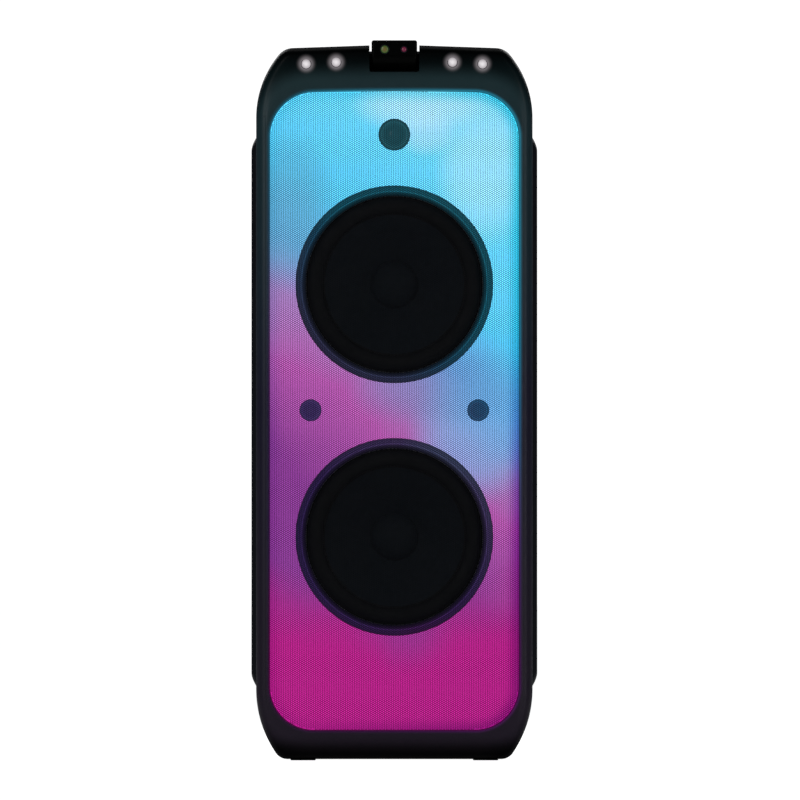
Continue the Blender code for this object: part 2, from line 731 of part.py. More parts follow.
def build_rear_panel():
    """Back of the cabinet, moulded with the handle's pocket, the wheel bay and the lugs that carry the axle."""
    panel = prism("rear_panel", cabinet_outline(), "Y", SHELL_BACK + GAP, REAR_FACE, "shell")
    before, behind = SHELL_BACK - 0.01, REAR_FACE + 0.012  # ends of a cutter through the panel
    combine(panel, box("bay_below", (-0.2, before, -0.01), (0.2, behind, BAY_TOP)))
    bay_start = BAY_FRONT + GAP
    bay_roof = box(
        "bay_roof",
        (-BAY_HALF_WIDTH, bay_start, BAY_TOP),
        (BAY_HALF_WIDTH, SHELL_BACK + 0.005, BAY_TOP + BAY_PLATE),
    )
    combine(panel, bay_roof, "UNION")
    bay_wall = prism("bay_wall", cabinet_outline(), "Y", bay_start, BAY_FRONT + 0.0045)
    combine(bay_wall, box("above_bay", (-0.2, bay_start - 0.01, BAY_TOP + 0.002), (0.2, 0.12, 1.0)))
    combine(panel, bay_wall, "UNION")
    for side in (-1, 1):
        ends = sorted((side * LUG_OUT, side * (LUG_OUT + LUG_THICK)))
        lug = box(
            f"lug_{side}",
            (ends[0], AXLE.y - LUG_HALF, AXLE.z - LUG_HALF),
            (ends[1], AXLE.y + LUG_HALF, BAY_TOP + 0.002),
        )
        combine(panel, lug, "UNION")
    axle_hole = rod(
        "axle_hole",
        AXLE_RADIUS + 0.0004,
        AXLE - Vector((0.15, 0, 0)),
        AXLE + Vector((0.15, 0, 0)),
    )
    combine(panel, axle_hole)
    outer = POCKET_HALF_WIDTH + POCKET_WALL
    tray = box(
        "pocket_tray",
        (-outer, POCKET_FRONT - POCKET_WALL, POCKET_FLOOR - POCKET_WALL),
        (outer, SHELL_BACK + 0.004, DECK_TOP - 0.002),
    )
    combine(panel, tray, "UNION")
    lowered = box(
        "pocket_sides",
        (-outer - 0.004, POCKET_FRONT + POCKET_TURN, CABINET_TOP + POCKET_LIP),
        (outer + 0.004, 0.2, 1.0),
    )
    combine(panel, lowered)
    hollow = box(
        "pocket_hollow",
        (-POCKET_HALF_WIDTH, POCKET_FRONT, POCKET_FLOOR),
        (POCKET_HALF_WIDTH, 0.2, 1.0),
    )
    combine(panel, hollow)
    for side in (-1, 1):
        place = (side * TUBE_OUT, GRIP_MIDDLE.y)
        hole = rod(
            f"tube_hole_{side}",
            TUBE_RADIUS + TUBE_FIT,
            (*place, POCKET_FLOOR - 0.03),
            (*place, POCKET_FLOOR + 0.03),
        )
        combine(panel, hole)
    port_hole = rod(
        "port_hole",
        PORT_RADIUS + PORT_WALL + 0.0005,
        (0.0, before, PORT_HEIGHT),
        (0.0, behind, PORT_HEIGHT),
        segments=32,
    )
    combine(panel, port_hole)
    for name, half_width, bottom, top in (
        ("amp_hole", AMP_HALF_WIDTH, AMP_BOTTOM, AMP_TOP),
        ("door_hole", DOOR_HALF_WIDTH, DOOR_BOTTOM, DOOR_TOP),
    ):
        hole = box(
            name,
            (-half_width + COVER_LAP, before, bottom + COVER_LAP),
            (half_width - COVER_LAP, behind, top - COVER_LAP),
        )
        combine(panel, hole)


def build_side_pad(name, side):
    """Bumper along the side of the cabinet, with its outer face chamfered in from every edge."""
    sections = []
    for x, shrink_y, shrink_z in (
        (CABINET_HALF_WIDTH + GAP, 0.0, 0.0),
        (PAD_STEP, 0.0, 0.0),
        (PAD_OUT, 0.007, PAD_CHAMFER),
    ):
        y0, y1 = BEZEL_BACK + 0.001 + shrink_y, PAD_REAR - shrink_y
        z0, z1 = PAD_BOTTOM + shrink_z, PAD_TOP - shrink_z
        sections.append([(side * x, y0, z0), (side * x, y1, z0), (side * x, y1, z1), (side * x, y0, z1)])
    loft(name, sections, "rubber")


def build_feet():
    half_x, half_y = FOOT_SIZE[0] / 2, FOOT_SIZE[1] / 2
    for name, side in (("front_foot_left", -1), ("front_foot_right", 1)):
        x, y = side * FOOT_PLACE[0], FOOT_PLACE[1]
        box(
            name,
            (x - half_x, y - half_y, 0.0),
            (x + half_x, y + half_y, BEZEL_BOTTOM - GAP),
            "rubber",
        )


# ---------------------------------------------------------------- laser head


def build_laser_head():
    """Tilting head: rounded about its pivot below, square above, with a pin at each side."""
    tilt = pivot_at("laser_tilt", LASER_PIVOT)
    rise = LASER_TOP - LASER_PIVOT.z
    lower = arc((0.0, 0.0), LASER_ROUND, math.pi, 2 * math.pi, 10)
    clip = 0.003  # cut off the upper corners
    upper = [(LASER_ROUND, rise - clip), (LASER_ROUND - clip, rise)]
    upper += [(-across, up) for across, up in reversed(upper)]
    head = prism("laser_head", lower + upper, "X", -LASER_HALF_WIDTH, LASER_HALF_WIDTH, "shell")
    head.parent = tilt
    reach = Vector((NOTCH_HALF_WIDTH + LASER_PIN_END, 0.0, 0.0))
    pins = rod("laser_pins", LASER_PIN_RADIUS, LASER_PIVOT - reach, LASER_PIVOT + reach, segments=16)
    combine(head, pins, "UNION")
    face = -LASER_ROUND
    window = box(
        "laser_window",
        (-LASER_WINDOW_HALF_WIDTH, face - 0.0018, 0.0005),
        (LASER_WINDOW_HALF_WIDTH, face - GAP, rise - 0.0035),
        "gloss",
    )
    window.parent = tilt
    for name, side in (("laser_lens_green", -1), ("laser_lens_red", 1)):
        x, z = side * LASER_SPACING, LASER_LENS_RISE
        finish = "green" if side < 0 else "red"
        front = face - 0.0021
        lens = rod(name, LASER_LENS_RADIUS, (x, front - 0.0015, z), (x, front, z), finish, segments=20)
        lens.parent = tilt


# ---------------------------------------------------------------- control panel


def build_control_panel():
    """Deck on top of the cabinet, with its keys, knobs and display."""
    deck = box(
        "control_panel",
        (-DECK_HALF_WIDTH, DECK_FRONT, CABINET_TOP + GAP),
        (DECK_HALF_WIDTH, DECK_REAR, DECK_TOP),
        "gloss",
    )
    below, above = CABINET_TOP - 0.009, DECK_TOP + 0.013  # ends of a cutter through the deck
    key_floor = CABINET_TOP + 0.0020
    for index, key in enumerate(KEYS):
        x = (index - 2) * KEY_PITCH
        half_x, half_y = KEY_SIZE[0] / 2, KEY_SIZE[1] / 2
        hole = box(
            f"hole_{key}",
            (x - half_x - KEY_CLEARANCE, KEY_ROW - half_y - KEY_CLEARANCE, below),
            (x + half_x + KEY_CLEARANCE, KEY_ROW + half_y + KEY_CLEARANCE, above),
        )
        combine(deck, hole)
        box(
            f"button_{key}",
            (x - half_x, KEY_ROW - half_y, key_floor),
            (x + half_x, KEY_ROW + half_y, DECK_TOP + KEY_PROUD),
            "knob",
            bevel=0.0012,
        )
    power_hole = rod(
        "hole_power", POWER_RADIUS + KEY_CLEARANCE, (*POWER_PLACE, below), (*POWER_PLACE, above)
    )
    combine(deck, power_hole)
    rod(
        "button_power",
        POWER_RADIUS,
        (*POWER_PLACE, key_floor),
        (*POWER_PLACE, DECK_TOP + KEY_PROUD),
        "knob",
    )
    for name, place, (radius, height) in (
        ("volume_knob", VOLUME_PLACE, VOLUME_SIZE),
        ("mic_knob", MIC_PLACE, MIC_SIZE),
    ):
        hole = rod(f"hole_{name}", KNOB_SHAFT + 0.0005, (*place, below), (*place, above), segments=16)
        combine(deck, hole)
        profile = [
            (0.0, height),
            (radius * 0.86, height),
            (radius, height - 0.002),
            (radius, 0.0006),
            (KNOB_SHAFT, 0.0006),
            (KNOB_SHAFT, -0.006),
            (0.0, -0.006),
        ]
        turned(name, profile, (*place, DECK_TOP), (0.0, 0.0, 1.0), "knob", segments=24)
    half_x, half_y = DISPLAY_SIZE[0] / 2, DISPLAY_SIZE[1] / 2
    recess = box(
        "display_recess",
        (-half_x - GAP, DISPLAY_MIDDLE - half_y - GAP, DECK_TOP - 0.0018),
        (half_x + GAP, DISPLAY_MIDDLE + half_y + GAP, above),
    )
    combine(deck, recess)
    box(
        "display_window",
        (-half_x, DISPLAY_MIDDLE - half_y, DECK_TOP - 0.0015),
        (half_x, DISPLAY_MIDDLE + half_y, DECK_TOP + 0.0001),
        "gloss",
    )


# ---------------------------------------------------------------- handle and wheels


def build_handle():
    """Trolley handle: a grip on two tubes that slide in sleeves inside the cabinet."""
    trolley = pivot_at("trolley", GRIP_MIDDLE)
    half = Vector(GRIP_SIZE) / 2
    grip = box("handle_grip", -half, half, "rubber", bevel=0.008)
    grip.parent = trolley
    tube_bottom = SLEEVE_BOTTOM + 0.006 - GRIP_MIDDLE.z
    sleeve_top = POCKET_FLOOR - POCKET_WALL - GAP
    bore = TUBE_RADIUS + TUBE_FIT
    outer = bore + SLEEVE_WALL
    for name, side in (("left", -1), ("right", 1)):
        x = side * TUBE_OUT
        tube_top = -half.z - GAP
        hollow = TUBE_RADIUS - TUBE_WALL
        wall = [(TUBE_RADIUS, tube_top), (TUBE_RADIUS, tube_bottom)]
        wall += [(hollow, tube_bottom), (hollow, tube_top)]
        tube = turned(
            f"handle_tube_{name}", wall, (x, 0.0, 0.0), (0, 0, 1), "chrome", segments=24, closed=True
        )
        tube.parent = trolley
        sleeve = [(outer, sleeve_top), (outer, SLEEVE_BOTTOM), (bore, SLEEVE_BOTTOM), (bore, sleeve_top)]
        place = (x, GRIP_MIDDLE.y, 0.0)
        turned(f"handle_sleeve_{name}", sleeve, place, (0, 0, 1), "steel", segments=24, closed=True)


def build_wheels():
    """Axle across the bay with a tyred wheel that turns at each end."""
    end = WHEEL_IN + WHEEL_WIDTH + 0.001
    rod("wheel_axle", AXLE_RADIUS, AXLE - Vector((end, 0, 0)), AXLE + Vector((end, 0, 0)), "steel")
    half = WHEEL_WIDTH / 2
    rim = half - 0.001
    bore = AXLE_RADIUS + 0.0004
    for name, side in (("left", -1), ("right", 1)):
        place = AXLE + Vector((side * (WHEEL_IN + half), 0, 0))
        tyre = [
            (WHEEL_RADIUS - 0.004, half),
            (WHEEL_RADIUS, half - 0.005),
            (WHEEL_RADIUS, -half + 0.005),
            (WHEEL_RADIUS - 0.004, -half),
            (HUB_RADIUS + GAP, -half),
            (HUB_RADIUS + GAP, half),
        ]
        turned(f"tyre_{name}", tyre, place, (side, 0, 0), "rubber", segments=28, closed=True)
        hub = [
            (HUB_RADIUS, rim),
            (HUB_RADIUS, -rim),
            (bore, -rim),
            (bore, rim),
            (0.0120, rim),
            (0.0140, rim - 0.005),
            (0.0250, rim - 0.005),
            (0.0275, rim),
        ]
        turned(f"wheel_hub_{name}", hub, place, (side, 0, 0), "shell", segments=20, closed=True)


# ---------------------------------------------------------------- rear fittings and electronics


def build_port():
    """Bass port: a tube through the rear panel with a flared mouth."""
    outer = PORT_RADIUS + PORT_WALL
    profile = [
        (PORT_FLANGE, 0.0030),
        (PORT_FLANGE, GAP),
        (outer, GAP),
        (outer, -PORT_LENGTH),
        (PORT_RADIUS, -PORT_LENGTH),
        (PORT_RADIUS, -0.0120),
        (PORT_RADIUS + 0.0025, -0.0040),
        (PORT_FLANGE - 0.0060, 0.0015),
        (PORT_FLANGE - 0.0030, 0.0030),
    ]
    place = (0.0, REAR_FACE, PORT_HEIGHT)
    turned("port_tube", profile, place, (0, 1, 0), "shell", segments=24, closed=True)


def rectangle(name, place, size, front, back, finish=None, margin=0.0):
    """A box centred at a place on the rear panel. Margin is added on all four sides of its width and height."""
    half_x, half_z = size[0] / 2 + margin, size[1] / 2 + margin
    return box(
        name,
        (place[0] - half_x, front, place[1] - half_z),
        (place[0] + half_x, back, place[1] + half_z),
        finish,
    )


def build_amplifier():
    """Amplifier plate on the back with its sockets, inlet and switch."""
    back = REAR_FACE + AMP_THICK
    before, behind = 0.13, 0.17  # ends of a cutter through the plate
    plate = box(
        "amp_plate",
        (-AMP_HALF_WIDTH, REAR_FACE + GAP, AMP_BOTTOM),
        (AMP_HALF_WIDTH, back, AMP_TOP),
        "steel",
    )
    for number, x in enumerate(JACKS, 1):
        boss = rod(
            f"jack_boss_{number}",
            JACK_BOSS,
            (x, JACK_FLOOR - 0.002, JACK_HEIGHT),
            (x, back - 0.001, JACK_HEIGHT),
        )
        combine(plate, boss, "UNION")
        bore = rod(
            f"jack_bore_{number}", JACK_RADIUS, (x, JACK_FLOOR, JACK_HEIGHT), (x, behind, JACK_HEIGHT)
        )
        combine(plate, bore)
    usb_boss = rectangle("usb_boss", USB_PLACE, USB_SIZE, USB_FLOOR - 0.0025, back - 0.001, margin=USB_WALL)
    combine(plate, usb_boss, "UNION")
    combine(plate, rectangle("usb_slot", USB_PLACE, USB_SIZE, USB_FLOOR, behind))
    combine(plate, rectangle("inlet_hole", INLET_PLACE, INLET_SIZE, before, behind, margin=GAP))
    inlet = rectangle("power_inlet", INLET_PLACE, INLET_SIZE, INLET_FRONT, back + 0.001, "gloss")
    combine(inlet, rectangle("inlet_recess", INLET_PLACE, INLET_RECESS, INLET_FRONT + 0.0035, behind))
    combine(plate, rectangle("switch_hole", SWITCH_PLACE, SWITCH_HOLE, before, behind))
    rocker = [(-0.0040, -0.0065), (0.0036, -0.0082), (0.0018, 0.0), (0.0036, 0.0082), (-0.0040, 0.0065)]
    switch = prism("power_switch", rocker, "X", -0.0066, 0.0066, "gloss")
    switch.location = (SWITCH_PLACE[0], REAR_FACE, SWITCH_PLACE[1])
    switch.rotation_euler.x = ROCKER_TILT


def build_electronics():
    """Boards, supply and battery inside the cabinet, and the battery's door on the back."""
    solder_side = BOARD_FRONT + BOARD_THICK
    board = box(
        "amp_board",
        (-BOARD_HALF_WIDTH, BOARD_FRONT, BOARD_BOTTOM),
        (BOARD_HALF_WIDTH, solder_side, BOARD_TOP),
        "board",
    )
    seated = BOARD_FRONT + 0.001
    heat_sink = box("heat_sink", (-0.055, HEAT_SINK_FRONT, 0.365), (0.055, seated, 0.440))
    combine(board, heat_sink, "UNION")
    for x in (-0.040, 0.0, 0.040):
        capacitor = rod(
            f"capacitor_{x}", 0.009, (x, HEAT_SINK_FRONT, 0.475), (x, seated, 0.475), segments=12
        )
        combine(board, capacitor, "UNION")
    floor = CABINET_BOTTOM + CABINET_WALL + GAP
    half_x, half_y = SUPPLY_SIZE[0] / 2, SUPPLY_SIZE[1] / 2
    box("power_supply", (-half_x, -half_y, floor), (half_x, half_y, floor + SUPPLY_SIZE[2]), "steel")
    inset = 0.010
    box(
        "battery_pack",
        (-CELLS_HALF_WIDTH, 0.080, DOOR_BOTTOM + inset + 0.001),
        (CELLS_HALF_WIDTH, SHELL_BACK - 0.005, DOOR_TOP - inset),
        "cell",
    )
    box(
        "battery_door",
        (-DOOR_HALF_WIDTH, REAR_FACE + GAP, DOOR_BOTTOM),
        (DOOR_HALF_WIDTH, REAR_FACE + GAP + COVER_FRONT, DOOR_TOP),
        "shell",
    )


def main():
    clear_scene()
    build_bezel()
    build_grille()
    build_light_panel()
    build_drivers()
    build_baffle()
    build_shell()
    build_rear_panel()
    build_side_pad("side_pad_left", -1)
    build_side_pad("side_pad_right", 1)
    build_feet()
    build_laser_head()
    build_control_panel()
    build_handle()
    build_wheels()
    build_port()
    build_amplifier()
    build_electronics()


main()
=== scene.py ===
"""Looks of the party speaker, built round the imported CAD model. Metres, +Z up, the front faces -Y."""

import math

import bmesh
import bpy
import numpy as np
from mathutils import Matrix, Vector


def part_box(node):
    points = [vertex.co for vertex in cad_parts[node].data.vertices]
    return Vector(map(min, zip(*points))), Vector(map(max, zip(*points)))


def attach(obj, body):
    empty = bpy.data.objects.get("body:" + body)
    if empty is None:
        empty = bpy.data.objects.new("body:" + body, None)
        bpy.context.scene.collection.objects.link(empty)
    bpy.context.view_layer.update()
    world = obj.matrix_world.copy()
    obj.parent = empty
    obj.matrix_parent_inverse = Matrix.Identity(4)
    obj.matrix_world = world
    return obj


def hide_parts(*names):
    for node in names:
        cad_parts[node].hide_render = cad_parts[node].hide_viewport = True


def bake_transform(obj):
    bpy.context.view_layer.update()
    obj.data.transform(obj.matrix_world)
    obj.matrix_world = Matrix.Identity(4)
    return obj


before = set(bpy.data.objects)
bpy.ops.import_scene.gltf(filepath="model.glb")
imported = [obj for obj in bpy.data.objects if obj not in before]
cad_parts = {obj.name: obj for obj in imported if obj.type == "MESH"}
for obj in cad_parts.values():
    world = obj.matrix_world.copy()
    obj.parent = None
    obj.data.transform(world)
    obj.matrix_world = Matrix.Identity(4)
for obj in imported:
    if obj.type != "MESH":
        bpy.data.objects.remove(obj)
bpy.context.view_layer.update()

FORWARD, BACKWARD, UPWARD = (0, -1, 0), (0, 1, 0), (0, 0, 1)
ORIGIN = (0, 0, 0)

# Front frame and its opening.
HALF_WIDTH = 0.1756
BEZEL_BOTTOM = 0.0016
BEZEL_TOP = 0.9095
BEZEL_FRONT = -0.170
BEZEL_BACK = -0.098
FRAME_BACK = -0.152  # back of the part round the opening
BEZEL_WALL = 0.005
SKIRT_FIT = 0.0006  # clearance between the frame's skirt and the cabinet
TOP_LONG_RADIUS = 0.126  # every corner is a long arc, then a short one
BOTTOM_LONG_RADIUS = 0.145
SHORT_RADIUS = 0.024
BOTTOM_SHORT_RADIUS = 0.018
TOP_SWEEP = math.radians(39.4)  # how far the long arc turns
BOTTOM_SWEEP = math.radians(34.0)
CROWN = math.radians(2.0)  # slope of the top edge towards its middle
LONG_STEPS = 20
SHORT_STEPS = 12
OPENING_HALF_WIDTH = 0.1594
OPENING_BOTTOM = 0.0375
OPENING_TOP = 0.8515
OPENING_RADIUS = 0.057
OPENING_CROWN = 0.003  # how far the top edge of the opening drops at its ends

# Perforated grille.
GRILLE_FRONT = -0.175
GRILLE_BACK = -0.160
GRILLE_EDGE = 0.0008  # clearance in the opening
GRILLE_ROLL = 0.005  # radius of its rolled edge
HOLE_PITCH = 0.0026
HOLE_WIDTH = 0.00202  # across the flats
GRILLE_BANDS = 4  # pieces that the sheet is made in, one above the other

# Cabinet.
BAFFLE_FRONT = -0.120
BAFFLE_BACK = -0.105
CABINET_HALF_WIDTH = 0.1695
CABINET_BOTTOM = 0.009
CABINET_TOP = 0.889
CABINET_WALL = 0.009
CABINET_SHRINK = 0.006  # how much smaller its corner radii are than the frame's
SHELL_BACK = 0.150
REAR_FACE = 0.158
GAP = 0.0003  # between pieces that lie against each other

# Windows of the light panel: x, z and radius.
WOOFER_WINDOW = 0.1256
WOOFER_HEIGHTS = {"upper": 0.6048, "lower": 0.2838}
TWEETERS = {
    "tweeter": (0.0, 0.7950, 0.0203, 0.0125),
    "side_tweeter_left": (-0.1065, 0.4448, 0.0140, 0.0080),
    "side_tweeter_right": (0.1065, 0.4448, 0.0140, 0.0080),
}

# Laser head in its notch, strobes and the seam across the frame's sides.
NOTCH_HALF_WIDTH = 0.0317
NOTCH_BOTTOM = 0.8745
NOTCH_CHEEK = 0.0113  # thickness of the walls beside the notch
LASER_PIVOT = Vector((0.0, -0.146, 0.8955))
LASER_ROUND = 0.019  # radius of the head's underside
LASER_HALF_WIDTH = 0.02895
LASER_PIN = 0.003  # radius of the pins it tilts on
LASER_LENSES = {"green": 0.0048, "red": 0.0032}
STROBE_RADIUS = 0.0063
SEAM_HEIGHT = 0.8175

# Handle's pocket, wheel bay and axle.
POCKET_HALF_WIDTH = 0.105
POCKET_FRONT = 0.112
POCKET_FLOOR = 0.832
POCKET_WALL = 0.003
POCKET_LIP = 0.0012  # how far the side walls of the pocket stand above the cabinet
POCKET_TURN = 0.004  # how far its front wall turns round the corners at full height
BAY_FRONT = 0.084
BAY_TOP = 0.087
BAY_PLATE = 0.004  # thickness of its roof
BAY_HALF_WIDTH = 0.168
AXLE = Vector((0.0, 0.133, 0.042))
AXLE_RADIUS = 0.005
LUG_OUT = 0.086  # from the middle of the speaker to a lug
LUG_THICK = 0.010
LUG_HALF = 0.012  # half its depth, and the radius of its lower end
COVER_LAP = 0.008  # how far the amplifier plate and the battery door overlap their holes
PORT_RADIUS = 0.032


# ---------------------------------------------------------------- outlines


def arc(centre, radius, start, end, steps):
    """Points on an arc, both ends included."""
    return [
        (
            centre[0] + radius * math.cos(start + (end - start) * i / steps),
            centre[1] + radius * math.sin(start + (end - start) * i / steps),
        )
        for i in range(steps + 1)
    ]


def circle(x, z, radius, segments=128):
    """Outline of a circle."""
    return arc((x, z), radius, 0.0, 2 * math.pi, segments)[:-1]


def corner(half_width, edge, sign, long_radius, short_radius, sweep, finish, inset):
    """One corner from the side to the top (sign 1) or bottom (sign -1) of an outline, moved in by inset."""
    long_centre = (
        half_width - long_radius,
        -(long_radius - short_radius) * math.sin(sweep) - short_radius * math.sin(finish),
    )
    short_centre = (
        long_centre[0] + (long_radius - short_radius) * math.cos(sweep),
        long_centre[1] + (long_radius - short_radius) * math.sin(sweep),
    )
    points = arc(long_centre, long_radius - inset, 0.0, sweep, LONG_STEPS)
    points += arc(short_centre, short_radius - inset, sweep, finish, SHORT_STEPS)[1:]
    return [(x, edge + sign * z) for x, z in points]


def around(upper, top, lower, bottom):
    """The whole outline from its right-hand corners, with a point in the middle of the top and the bottom."""
    points = upper + [(0.0, top)]
    points += [(-x, z) for x, z in reversed(upper)]
    points += [(-x, z) for x, z in lower]
    return points + [(0.0, bottom)] + list(reversed(lower))


def bezel_outline(inset=0.0):
    """Outline of the front frame: its top rises a little towards the middle."""
    reach = HALF_WIDTH - TOP_LONG_RADIUS + (TOP_LONG_RADIUS - SHORT_RADIUS) * math.cos(TOP_SWEEP)
    shoulder = BEZEL_TOP - reach * math.tan(CROWN)
    finish = math.pi / 2 - CROWN
    upper = corner(HALF_WIDTH, shoulder, 1, TOP_LONG_RADIUS, SHORT_RADIUS, TOP_SWEEP, finish, inset)
    long, short = BOTTOM_LONG_RADIUS, BOTTOM_SHORT_RADIUS
    lower = corner(HALF_WIDTH, BEZEL_BOTTOM, -1, long, short, BOTTOM_SWEEP, math.pi / 2, inset)
    return around(upper, BEZEL_TOP - inset, lower, BEZEL_BOTTOM + inset)


def cabinet_outline(inset=0.0):
    """Outline of the cabinet behind the frame."""
    short = SHORT_RADIUS - CABINET_SHRINK
    top_long = TOP_LONG_RADIUS - CABINET_SHRINK
    bottom_long = BOTTOM_LONG_RADIUS - CABINET_SHRINK
    half = CABINET_HALF_WIDTH
    upper = corner(half, CABINET_TOP, 1, top_long, short, TOP_SWEEP, math.pi / 2, inset)
    lower = corner(half, CABINET_BOTTOM, -1, bottom_long, short, BOTTOM_SWEEP, math.pi / 2, inset)
    return around(upper, CABINET_TOP - inset, lower, CABINET_BOTTOM + inset)


def crown_drop(x):
    """How far the top edge of the opening lies below its middle."""
    return OPENING_CROWN * (x / OPENING_HALF_WIDTH) ** 2


def opening_outline(inset=0.0):
    """Outline of the frame's opening, which the grille fills."""
    steps = LONG_STEPS + SHORT_STEPS
    radius = OPENING_RADIUS - inset
    centre_x = OPENING_HALF_WIDTH - OPENING_RADIUS
    upper = arc((centre_x, OPENING_TOP - OPENING_RADIUS), radius, 0.0, math.pi / 2, steps)
    upper = [(x, z - crown_drop(x)) for x, z in upper]
    lower = arc((centre_x, OPENING_BOTTOM + OPENING_RADIUS), radius, 0.0, -math.pi / 2, steps)
    return around(upper, OPENING_TOP - inset, lower, OPENING_BOTTOM + inset)


def rounded_rectangle(low, high, radius, steps=8):
    """Outline of a rectangle between two corners, with round corners."""
    quarters = (
        (high[0] - radius, high[1] - radius, 0.0),
        (low[0] + radius, high[1] - radius, math.pi / 2),
        (low[0] + radius, low[1] + radius, math.pi),
        (high[0] - radius, low[1] + radius, 1.5 * math.pi),
    )
    points = []
    for x, z, start in quarters:
        points += arc((x, z), radius, start, start + math.pi / 2, steps)
    return points


def window(centre, width, height, radius, steps=8):
    """A rounded rectangle about its middle."""
    across, up = width / 2, height / 2
    low, high = (centre[0] - across, centre[1] - up), (centre[0] + across, centre[1] + up)
    return rounded_rectangle(low, high, radius, steps)


def box_outline(low, high, plane, radius, inset=0.0, steps=8):
    """The rounded rectangle that a box shows in the XZ or XY plane, moved in by inset."""
    up = 2 if plane == "XZ" else 1
    start, end = (low.x + inset, low[up] + inset), (high.x - inset, high[up] - inset)
    return rounded_rectangle(start, end, radius, steps)


def softened(points, radius, steps=4, closed=True):
    """A polyline with each of its corners replaced by a curve that starts radius away from it."""
    count = len(points)
    result = []
    for i, point in enumerate(points):
        if not closed and i in (0, count - 1):
            result.append(tuple(point))
            continue
        here = Vector(point)
        before = Vector(points[i - 1]) - here
        after = Vector(points[(i + 1) % count]) - here
        cut = min(radius, before.length * 0.45, after.length * 0.45)
        start, end = here + before.normalized() * cut, here + after.normalized() * cut
        for step in range(steps + 1):
            t = step / steps
            result.append(tuple(start * (1 - t) ** 2 + here * 2 * t * (1 - t) + end * t * t))
    return result


def at_y(outline, y):
    """An outline in the XZ plane as points in space."""
    return [(x, y, z) for x, z in outline]


# ---------------------------------------------------------------- shapes


def add(name, mesh):
    """A new object in the scene with some mesh, curve, light or camera."""
    thing = bpy.data.objects.new(name, mesh)
    bpy.context.scene.collection.objects.link(thing)
    return thing


def shade(thing, angle=35):
    """Shades smooth, but for the edges sharper than an angle in degrees."""
    thing.data.shade_smooth()
    thing.data.set_sharp_from_angle(angle=math.radians(angle))


def drawn_mesh(thing):
    """An object's mesh with its modifiers applied, or the mesh that a curve draws."""
    graph = bpy.context.evaluated_depsgraph_get()
    return bpy.data.meshes.new_from_object(thing.evaluated_get(graph))


def bake(thing):
    """Applies an object's modifiers."""
    mesh = drawn_mesh(thing)
    thing.modifiers.clear()
    thing.data = mesh
    return thing


def aimed(place, direction):
    """Carries a shape from the origin, where it stands along +Z, to a place and a direction."""
    return Matrix.Translation(place) @ Vector(direction).to_track_quat("Z", "Y").to_matrix().to_4x4()


def from_bmesh(name, bm, angle=35):
    """A new object from a bmesh, its faces turned outwards and shaded smooth up to an angle in degrees."""
    bmesh.ops.recalc_face_normals(bm, faces=bm.faces)
    mesh = bpy.data.meshes.new(name)
    bm.to_mesh(mesh)
    bm.free()
    thing = add(name, mesh)
    shade(thing, angle)
    return thing


def scattered(name, pattern, places, direction):
    """Copies of a shape that was made at the origin along +Z, as one object. The pattern is removed."""
    bm = bmesh.new()
    for place in places:
        mesh = pattern.data.copy()
        mesh.transform(aimed(place, direction))
        bm.from_mesh(mesh)
    bpy.data.objects.remove(pattern)
    return from_bmesh(name, bm)


def joined(name, things):
    """Several separate shapes as one object."""
    bm = bmesh.new()
    for thing in things:
        bm.from_mesh(thing.data)
        bpy.data.objects.remove(thing)
    return from_bmesh(name, bm)


def bevel(thing, width, segments=3, angle=35):
    """Rounds the edges that are sharper than 40 degrees."""
    modifier = thing.modifiers.new("edges", "BEVEL")
    modifier.width = width
    modifier.segments = segments
    modifier.limit_method = "ANGLE"
    modifier.angle_limit = math.radians(40)
    shade(bake(thing), angle)
    return thing


def combine(target, tools, operation="DIFFERENCE"):
    """Cuts the tools from the target, or joins them on with UNION, and removes the tools."""
    for tool in tools:
        modifier = target.modifiers.new(tool.name, "BOOLEAN")
        modifier.operation = operation
        modifier.object = tool
    shade(bake(target))
    for tool in tools:
        bpy.data.objects.remove(tool)
    return target


def block(name, low, high, rounding=0.0, segments=3):
    """A box between two corners, with its edges rounded."""
    low, high = Vector(low), Vector(high)
    bm = bmesh.new()
    bmesh.ops.create_cube(bm, size=1.0)
    bmesh.ops.scale(bm, vec=high - low, verts=bm.verts)
    bmesh.ops.translate(bm, vec=(low + high) / 2, verts=bm.verts)
    thing = from_bmesh(name, bm)
    if rounding:
        bevel(thing, rounding, segments)
    return thing


def turned(name, profile, place, direction, segments=96, closed=False, angle=35):
    """A solid of revolution from (radius, height) pairs, with its axis from place along direction."""
    bm = bmesh.new()
    rings = []
    for radius, height in profile:
        if radius < 1e-7:
            rings.append([bm.verts.new((0.0, 0.0, height))])
        else:
            angles = [2 * math.pi * i / segments for i in range(segments)]
            rings.append([bm.verts.new((radius * math.cos(a), radius * math.sin(a), height)) for a in angles])
    pairs = list(zip(rings, rings[1:]))
    if closed:
        pairs.append((rings[-1], rings[0]))
    for near, far in pairs:
        for i in range(segments):
            j = (i + 1) % segments
            corners = [near[i % len(near)], near[j % len(near)], far[j % len(far)], far[i % len(far)]]
            face = list(dict.fromkeys(corners))
            if len(face) > 2:
                bm.faces.new(face)
    bmesh.ops.transform(bm, matrix=aimed(place, direction), verts=bm.verts)
    return from_bmesh(name, bm, angle)


def rod(name, radius, start, end, rounding=0.0, segments=64):
    """A round rod between two points, with softened rims."""
    length = (Vector(end) - Vector(start)).length
    profile = [(0.0, 0.0), (radius, 0.0), (radius, length), (0.0, length)]
    if rounding:
        profile = softened(profile, rounding, closed=False)
    return turned(name, profile, start, Vector(end) - Vector(start), segments)


